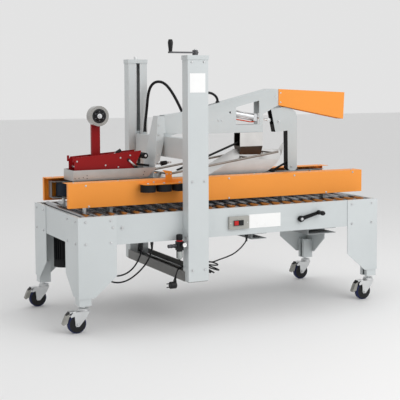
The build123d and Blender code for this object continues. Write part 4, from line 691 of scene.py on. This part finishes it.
def add_box(form, x0, x1, y0, y1, z0, z1, bevel=0.0, index=0):
    low = mm(min(x0, x1), min(y0, y1), min(z0, z1))
    high = mm(max(x0, x1), max(y0, y1), max(z0, z1))
    size = high - low
    matrix = Matrix.Translation((low + high) / 2) @ Matrix.Diagonal((*size, 1))
    made = bmesh.ops.create_cube(form, size=1.0, matrix=matrix)
    faces = {f for v in made["verts"] for f in v.link_faces}
    for face in faces:
        face.material_index = index
    if bevel:
        edges = {e for v in made["verts"] for e in v.link_edges}
        cut = bmesh.ops.bevel(
            form, geom=list(edges), offset=bevel / 1000, segments=2, profile=0.6, affect="EDGES",
        )
        for face in cut["faces"]:
            face.material_index = index
    return made


def add_bolt(form, place, axis, size=8.0, index=0):
    """Hexagon bolt head on a washer."""
    x, y, z = place
    a = Vector(axis).normalized()
    add_cone(form, place, axis, size * 1.0, size * 0.98, size * 0.18, 20, index)
    head = tuple(Vector(place) + a * size * 0.18)
    add_cone(form, head, axis, size * 0.78, size * 0.78, size * 0.48, 6, index, x * 0.7 + z)
    crown = tuple(Vector(head) + a * size * 0.48)
    add_cone(form, crown, axis, size * 0.72, size * 0.5, size * 0.1, 12, index)


def bolts(name, body, groups):
    form = bmesh.new()
    for places, axis, size in groups:
        for place in places:
            add_bolt(form, place, axis, size)
    return piece(name, form, ZINC, body)


FRONT = (0, -1, 0)
REAR = (0, 1, 0)
LEFT = (-1, 0, 0)
RIGHT = (1, 0, 0)
UP = (0, 0, 1)
DOWN = (0, 0, -1)

# Faces that bolts and trim sit on
PANEL_FACE = 360
LEG_FACE = 364
TABLE_END = 885
COLUMN_FACE = 425
COLUMN_MIDDLE = -265.5
BEAM_FACE = 32
GUARD_FACE = 215
UNIT_FACE = 48

LEG_BOLTS = [(x, z) for x in (-846, -716, 712, 845) for z in (549, 440)]
END_BOLTS = [(y, z) for y in (-325, -200, 200, 325) for z in (549, 440)]
COLUMN_BOLTS = [(COLUMN_MIDDLE + dx, z) for dx in (-34, 34) for z in (1327, 726, 275)]
GUARD_BOLTS = [
    (-790, 711), (-775, 606), (-420, 712), (20, 606),
    (20, 712), (430, 710), (640, 606), (820, 712),
]
GUARD_TOP_BOLTS = [(-840, 724), (-600, 724), (-150, 724), (200, 724), (560, 724), (840, 724)]
BEAM_BOLTS = [(131, 1057), (417, 1144), (51, 1017), (71, 1017), (-95, 1030)]
WEDGE_BOLTS = [(448, 1113), (448, 1166)]
UNIT_BOLTS = [(-777, 821), (-621, 795), (-550, 784), (-537, 832), (-482, 843), (-700, 755)]


def facing(points, way, face, size):
    """Bolts at points x, z on the plane y = face, on one side of the machine."""
    return [(x, way * face, z) for x, z in points], (0, way, 0), size


bolts("table_bolts", "table", [
    facing(LEG_BOLTS, -1, LEG_FACE, 6.5),
    facing(LEG_BOLTS, 1, LEG_FACE, 6.5),
    ([(-TABLE_END, y, z) for y, z in END_BOLTS], LEFT, 6.5),
    ([(TABLE_END, y, z) for y, z in END_BOLTS], RIGHT, 6.5),
    facing(COLUMN_BOLTS, -1, COLUMN_FACE, 6.5),
    facing(COLUMN_BOLTS, 1, COLUMN_FACE, 6.5),
    facing([(-705, 514), (-655, 509)], -1, PANEL_FACE, 9.0),
])
for side, way in (("front", -1), ("rear", 1)):
    bolts(side + "_guard_bolts", side + "_belt_unit", [
        facing(GUARD_BOLTS, way, GUARD_FACE, 5.5),
        ([(x, 170 * way, z) for x, z in GUARD_TOP_BOLTS], UP, 5.0),
        ([(x, 260 * way, 708) for x in (-471, -382, -293)], UP, 7.5),
        facing([(-346, 752), (-326, 752)], way, 219, 4.0),
    ])
bolts("head_bolts", "head", [
    facing(BEAM_BOLTS, -1, BEAM_FACE, 5.0),
    facing(BEAM_BOLTS, 1, BEAM_FACE, 5.0),
    facing(WEDGE_BOLTS, -1, 35, 4.5),
    facing(WEDGE_BOLTS, 1, 35, 4.5),
])
bolts("kicker_bolts", "kicker", [
    ([(442, -27, 1004), (528, -23, 741)], FRONT, 6.0),
    ([(442, 27, 1004), (528, 23, 741)], REAR, 6.0),
])
bolts("tape_unit_bolts", "head", [
    facing(UNIT_BOLTS, -1, UNIT_FACE, 4.6),
    facing(UNIT_BOLTS, 1, UNIT_FACE, 4.6),
    facing([(-395, 838)], -1, 52, 7.0),
    facing([(-395, 838)], 1, 52, 7.0),
])


def hanger_bolts():
    """Bolts down the edge of the hanger's slanted side flanges."""
    top = 1047
    height = 257
    lean = -0.187
    groups = []
    for z in (998, 947, 912, 841):
        drop = (top - z) / height
        y = 30 + 48 * drop
        x = -307 - 31.5 * drop
        for way in (-1, 1):
            groups.append(([(x, way * y, z)], (0, way, lean), 4.6))
    bolts("hanger_bolts", "head", groups)


hanger_bolts()


# Strain reliefs and glands
PLUG_WAY = (0.262, 0.105, 0.959)


def relief(name, body, place, axis, base, length, cord):
    """Ribbed sleeve that tapers from a gland down to a cord."""
    form = bmesh.new()
    way = Vector(axis).normalized()
    thick = base
    thin = cord / 2 + 0.8
    ribs = 6
    step = length / ribs
    for rib in range(ribs):
        start = Vector(place) + way * step * rib
        r0 = thick + (thin - thick) * rib / ribs
        r1 = thick + (thin - thick) * (rib + 0.7) / ribs
        add_cone(form, tuple(start), axis, r0, r1, step * 0.72, 20)
        add_cone(form, tuple(start), axis, r1 * 0.86, r1 * 0.84, step, 16)
    return piece(name, form, BLACK_PLASTIC, body)


def gland_nut(name, body, place, axis, radius, height):
    """Six-sided gland nut with a rounded collar."""
    form = bmesh.new()
    add_cone(form, place, axis, radius, radius, height, 6)
    crown = tuple(Vector(place) + Vector(axis) * height)
    add_cone(form, crown, axis, radius * 0.86, radius * 0.7, height * 0.5, 20)
    return piece(name, form, BLACK_PLASTIC, body)


for letter, route in (("a", MOTOR_CABLE_A), ("b", MOTOR_CABLE_B)):
    relief(
        "motor_relief_" + letter, "table", route[0], DOWN, 7.5, 28, MOTOR_CABLE_DIAMETER,
    )
relief("power_relief", "table", POWER_CORD[0], DOWN, 7.0, 26, CORD_DIAMETER)
relief("plug_relief", "table", PLUG_CORD[-1], PLUG_WAY, 7.5, 27, CORD_DIAMETER)
for letter, route in (("a", MOTOR_CABLE_A), ("b", MOTOR_CABLE_B)):
    relief(
        "terminal_relief_" + letter, "front_belt_unit", route[-1], FRONT,
        8.0, 24, MOTOR_CABLE_DIAMETER,
    )
relief("hose_relief_low", "head", CONTROL_HOSE[0], UP, 10.5, 22, HOSE_DIAMETER)
relief("hose_relief_high", "head", CONTROL_HOSE[-1], REAR, 12.0, 24, HOSE_DIAMETER)
gland_nut("air_nut_left", "head", (-58, 0, 1087), UP, 11.5, 9)
gland_nut("air_nut_right", "head", (62, 0, 1114), UP, 11.5, 7)


def coil_strap():
    """Flat strap that ties the turns to their hook."""
    form = bmesh.new()
    x, y = HANK_TIE
    low = HANK_TURNS[-1][0] - 7
    high = HANK_TURNS[0][0] + 14
    for x0, x1 in ((x - 10.5, x - 8.5), (x + 3.8, x + 5.8)):
        add_box(form, x0, x1, y - 4, y + 4, low, high, 0.5)
    for z0, z1 in ((low - 2, low), (high, high + 2)):
        add_box(form, x - 10.5, x + 5.8, y - 4, y + 4, z0, z1, 0.5)
    return piece("coil_strap", form, BLACK_PLASTIC, "table")


coil_strap()


# Bare white plates, where the machine has its printed ones
def bare_plates():
    form = bmesh.new()
    thick = 0.9
    add_box(form, 63, 254, -PANEL_FACE - thick, -PANEL_FACE, 458, 531, 0.3)
    add_box(form, -311.5, -225, -COLUMN_FACE - thick, -COLUMN_FACE, 1174, 1270, 0.3)
    return piece("bare_plates", form, WHITE, "table")


def switch_rockers():
    form = bmesh.new()
    add_box(form, -36, -12, -383, -378.5, 482, 505, 1.2, 0)
    add_box(form, -8, 16, -383, -378.5, 482, 505, 1.2, 1)
    add_box(form, -39.5, 19.5, -380.5, -378.8, 479.5, 507.5, 0.6, 1)
    for x in (-55, 46):
        add_cone(form, (x, -374, 493.5), FRONT, 3.4, 3.0, 1.6, 16, 2)
    materials = (RED_PLASTIC, BLACK_PLASTIC, ZINC)
    return piece("switch_rockers", form, materials, "table")


bare_plates()
switch_rockers()


# Air regulator: ribbed knob, red ring, gauge and bowl guard
REGULATOR = (-361.5, -400.0)
GAUGE = (-350.5, -439, 412.5)
KNOB_RIBS = 20
GAUGE_TICKS = 9


def regulator_dress():
    form = bmesh.new()
    x, y = REGULATOR
    for rib in range(KNOB_RIBS):
        angle = 2 * math.pi * rib / KNOB_RIBS
        place = (x + 15 * math.cos(angle), y + 15 * math.sin(angle), 436)
        add_cone(form, place, UP, 1.5, 1.3, 22, 6, 0)
    add_cone(form, (x, y, 427), UP, 17.5, 17.0, 5, 24, 1)
    add_cone(form, (x, y, 458), UP, 13.5, 9.0, 5, 24, 0)
    gauge_x, gauge_y, gauge_z = GAUGE
    add_cone(form, (gauge_x, gauge_y + 1, gauge_z), FRONT, 13.6, 13.2, 3.4, 32, 0)
    add_cone(form, (gauge_x, gauge_y - 2.0, gauge_z), FRONT, 11.4, 11.4, 0.8, 32, 2)
    add_box(
        form, gauge_x - 0.5, gauge_x + 0.5, gauge_y - 3.2, gauge_y - 2.6,
        gauge_z - 2, gauge_z + 8,
    )
    for tick in range(GAUGE_TICKS):
        angle = math.radians(-40 + 32.5 * tick)
        place = (gauge_x + 9.4 * math.cos(angle), gauge_y - 2.7, gauge_z + 9.4 * math.sin(angle))
        add_cone(form, place, FRONT, 0.6, 0.6, 0.4, 6, 0)
    for side in (-1, 1):
        guard_x = x + side * 14.2
        add_box(form, guard_x - 2, guard_x + 2, y - 3, y + 3, 342, 384, 1.0, 0)
    add_cone(form, (x, y, 376), UP, 16.2, 16.2, 7, 24, 0)
    add_cone(form, (x, y, 329), UP, 4.0, 4.5, 9, 12, 0)
    add_cone(form, (x - 41, y, 404.5), LEFT, 10.5, 10.5, 9, 6, 3)
    add_cone(form, (x - 24, y, 404.5), LEFT, 11.0, 11.0, 7, 6, 3)
    materials = (BLACK_PLASTIC, RED_PLASTIC, WHITE, DARK_STEEL)
    return piece("regulator_dress", form, materials, "table")


regulator_dress()


# Tape reel hub, handles, hooked ears, cross spacers and channel marks of the taping unit
def reel_hub():
    form = bmesh.new()
    x, y, z = REEL
    add_cone(form, (x, y + 0.5, z), FRONT, 36, 35, 2.5, 40, 0)
    add_cone(form, (x, y - 1.5, z), FRONT, 30, 14, 4, 40, 0)
    for arm in range(6):
        angle = math.radians(30 + 60 * arm)
        place = (x + 23 * math.cos(angle), y - 1.6, z + 23 * math.sin(angle))
        add_cone(form, place, FRONT, 4.2, 3.6, 2.2, 12, 2)
    add_cone(form, (x, y - 5, z), FRONT, 13, 12, 4, 24, 1)
    add_bolt(form, (x, y - 8.5, z), FRONT, 9.0, 1)
    materials = (BLACK_PLASTIC, ZINC, DARK_STEEL)
    return piece("reel_hub_cap", form, materials, "tape_reel")


def lever(form, start, end, r0, r1, index):
    """Round bar from one point to another."""
    way = Vector(end) - Vector(start)
    add_cone(form, start, tuple(way.normalized()), r0, r1, way.length, 16, index)


def tape_handles():
    form = bmesh.new()
    lever(form, (-560, -40, 858), (-533, -40, 872), 7.5, 9.5, 0)
    lever(form, (-574, -40, 851), (-560, -40, 858), 3.5, 3.5, 1)
    lever(form, (-492, -53, 819), (-455, -53, 783), 5.5, 7.0, 1)
    lever(form, (-455, -53, 783), (-444, -53, 773), 8.5, 7.0, 0)
    add_cone(form, (-492, -46, 819), FRONT, 8, 8, 9, 20, 0)
    lever(form, (-334, -52, 793), (-306, -52, 793), 4.5, 4.5, 1)
    lever(form, (-306, -52, 793), (-274, -52, 797), 13, 11, 0)
    lever(form, (-274, -52, 797), (-247, -52, 798), 6, 5, 1)
    lever(form, (-452, -12, 796), (-360, -12, 782), 6, 6, 0)
    return piece("tape_handles", form, (BLACK_PLASTIC, ZINC), "head")


def plate_hooks():
    """Hooked ears at the taping unit's outfeed end, and its cross spacers."""
    form = bmesh.new()
    for y in (-48, 45):
        add_box(form, -800, -788, y, y + 3, 818, 848, 0.5, 0)
    for x, z in ((-770, 790), (-668, 812), (-520, 826)):
        add_cone(form, (x, -46, z), REAR, 5, 5, 92, 16, 1)
    return piece("plate_hooks", form, (RED, ZINC), "head")


def channel_marks():
    """Small rivets along the folding channel, and dark discs where its holes are, as painted shade
    of the holes.
    """
    form = bmesh.new()
    marks = [
        (-799, 736), (-778, 737), (-755, 739), (-734, 749), (-734, 734), (-419, 741), (-413, 756),
    ]
    for x, z in marks:
        for y, way in ((-78, FRONT), (78, REAR)):
            add_cone(form, (x, y, z), way, 2.8, 2.4, 0.7, 14)
    return piece("channel_rivets_and_hole_shade", form, DARK_STEEL, "head")


reel_hub()
tape_handles()
plate_hooks()
channel_marks()


# Air cylinder: square end blocks, tie rods and two red tubes clipped to the barrel
CYLINDER_PIVOT = Vector((125, 0, 1060))
ROD_PIN = Vector((388, 0, 1012))
RED_TUBE = [(30, -20), (34, -27), (60, -31), (110, -29), (150, -30), (168, -27), (172, -20)]
cylinder_way = (ROD_PIN - CYLINDER_PIVOT).normalized()
cylinder_up = Vector((-cylinder_way.z, 0, cylinder_way.x))


def on_cylinder(distance, y=0.0, rise=0.0):
    return tuple(CYLINDER_PIVOT + cylinder_way * distance + cylinder_up * rise + Vector((0, y, 0)))


def cylinder_blocks():
    form = bmesh.new()
    way = tuple(cylinder_way)
    corner = 20.5 * math.sqrt(2)
    for start, length in ((18, 22), (160, 24)):
        add_cone(form, on_cylinder(start), way, corner, corner, length, 4, 0, math.pi / 4)
    add_cone(form, on_cylinder(183), way, 13, 11, 6, 24, 1)
    for y in (-16, 16):
        for rise in (-16, 16):
            add_cone(form, on_cylinder(38, y, rise), way, 2.8, 2.8, 124, 10, 1)
            add_cone(form, on_cylinder(183.5, y, rise), way, 4.4, 4.4, 4, 6, 1)
    for face in form.faces:
        if face.material_index == 0:
            face.smooth = False
    return piece("cylinder_blocks", form, (ALUMINIUM, ZINC), "cylinder")


def cylinder_tubes():
    for number, y in enumerate((-9, 9)):
        route = [on_cylinder(distance, y, rise) for distance, rise in RED_TUBE]
        red = tube("red_tube_%d" % number, centreline(route), 6.0, HOSE_RED)
        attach(red, "cylinder")


cylinder_blocks()
cylinder_tubes()


# Casters: swivel races, axle nuts and brake tread
def caster_dress(name, x, y):
    form = bmesh.new()
    add_cone(form, (x, y, 109), UP, 29, 27, 6, 32, 0)
    add_cone(form, (x, y, 115), UP, 27, 22, 8, 32, 0)
    axle_x = x - AXLE_BACK
    for way in (FRONT, REAR):
        add_bolt(form, (axle_x, y + way[1] * 22, AXLE_Z), way, 8.0, 0)
    piece(name + "_race", form, (ZINC,), name + "_caster")
    tread = bmesh.new()
    for ridge in range(3):
        low = 58 + 9 * ridge
        left = axle_x - 71 + 3 * ridge
        add_box(tread, left, left + 5, y - 13, y + 13, low, low + 4, 0.8, 0)
    piece(name + "_tread", tread, (PEDAL,), name + "_caster")
    rims = bmesh.new()
    for way in (FRONT, REAR):
        add_cone(rims, (axle_x, y + way[1] * 14.6, AXLE_Z), way, 33, 31, 1.2, 32, 0)
        add_cone(rims, (axle_x, y + way[1] * 15.2, AXLE_Z), way, 13, 11, 2.2, 24, 1)
    piece(name + "_hub", rims, (BLACK_PLASTIC, ZINC), name + "_wheel")


for corner, caster_x, caster_y in CORNERS:
    caster_dress(corner, caster_x, caster_y)


WIDTH_CRANK = (374, 490)
CRANK_ARM = 117
CRANK_ANGLE = math.radians(14)


def crank_nuts():
    """Nuts on both crank shafts and the cap on the width crank's grip."""
    form = bmesh.new()
    add_bolt(form, (COLUMN_MIDDLE, -392.5, 1386), UP, 8.5, 0)
    piece("lift_crank_nut", form, (ZINC,), "lift_crank")
    form = bmesh.new()
    shaft_x, shaft_z = WIDTH_CRANK
    add_bolt(form, (shaft_x, -386, shaft_z), FRONT, 8.0, 0)
    x = shaft_x + CRANK_ARM * math.cos(CRANK_ANGLE)
    z = shaft_z + CRANK_ARM * math.sin(CRANK_ANGLE)
    add_cone(form, (x, -418, z), FRONT, 9.5, 8.0, 3, 20, 0)
    piece("width_crank_nut", form, (ZINC,), "width_crank")


crank_nuts()

# Floor, light and world, in metres
FLOOR_HALF = 30
SKY = 0.77
floor_mesh = bpy.data.meshes.new("floor")
form = bmesh.new()
bmesh.ops.create_grid(form, x_segments=1, y_segments=1, size=FLOOR_HALF)
form.to_mesh(floor_mesh)
form.free()
floor_mesh.materials.append(new_material("floor", (0.82, 0.82, 0.82), 0.7)[0])
floor = bpy.data.objects.new("floor", floor_mesh)
bpy.context.scene.collection.objects.link(floor)

world = bpy.data.worlds.new("studio")
world.use_nodes = True
world.node_tree.nodes["Background"].inputs["Color"].default_value = (1, 1, 1, 1)
world.node_tree.nodes["Background"].inputs["Strength"].default_value = SKY
bpy.context.scene.world = world
bpy.context.scene.view_settings.view_transform = "Standard"
bpy.context.scene.view_settings.look = "None"


def area(name, place, target, size, power):
    """Rectangular lamp at a place, turned to its target."""
    light = bpy.data.lights.new(name, "AREA")
    light.shape = "RECTANGLE"
    light.size = size[0]
    light.size_y = size[1]
    light.energy = power
    obj = bpy.data.objects.new(name, light)
    bpy.context.scene.collection.objects.link(obj)
    away = Vector(place) - Vector(target)
    obj.matrix_world = Matrix.Translation(place) @ away.to_track_quat("Z", "Y").to_matrix().to_4x4()


area("key", (1.2, -3.9, 2.9), (0, 0, 0.7), (3.4, 2.8), 70)
area("fill", (3.4, -2.6, 2.0), (0, 0, 0.7), (2.5, 2.5), 10)
area("overhead", (0.2, 0.6, 3.6), (0, 0, 0.6), (3.0, 2.0), 14)
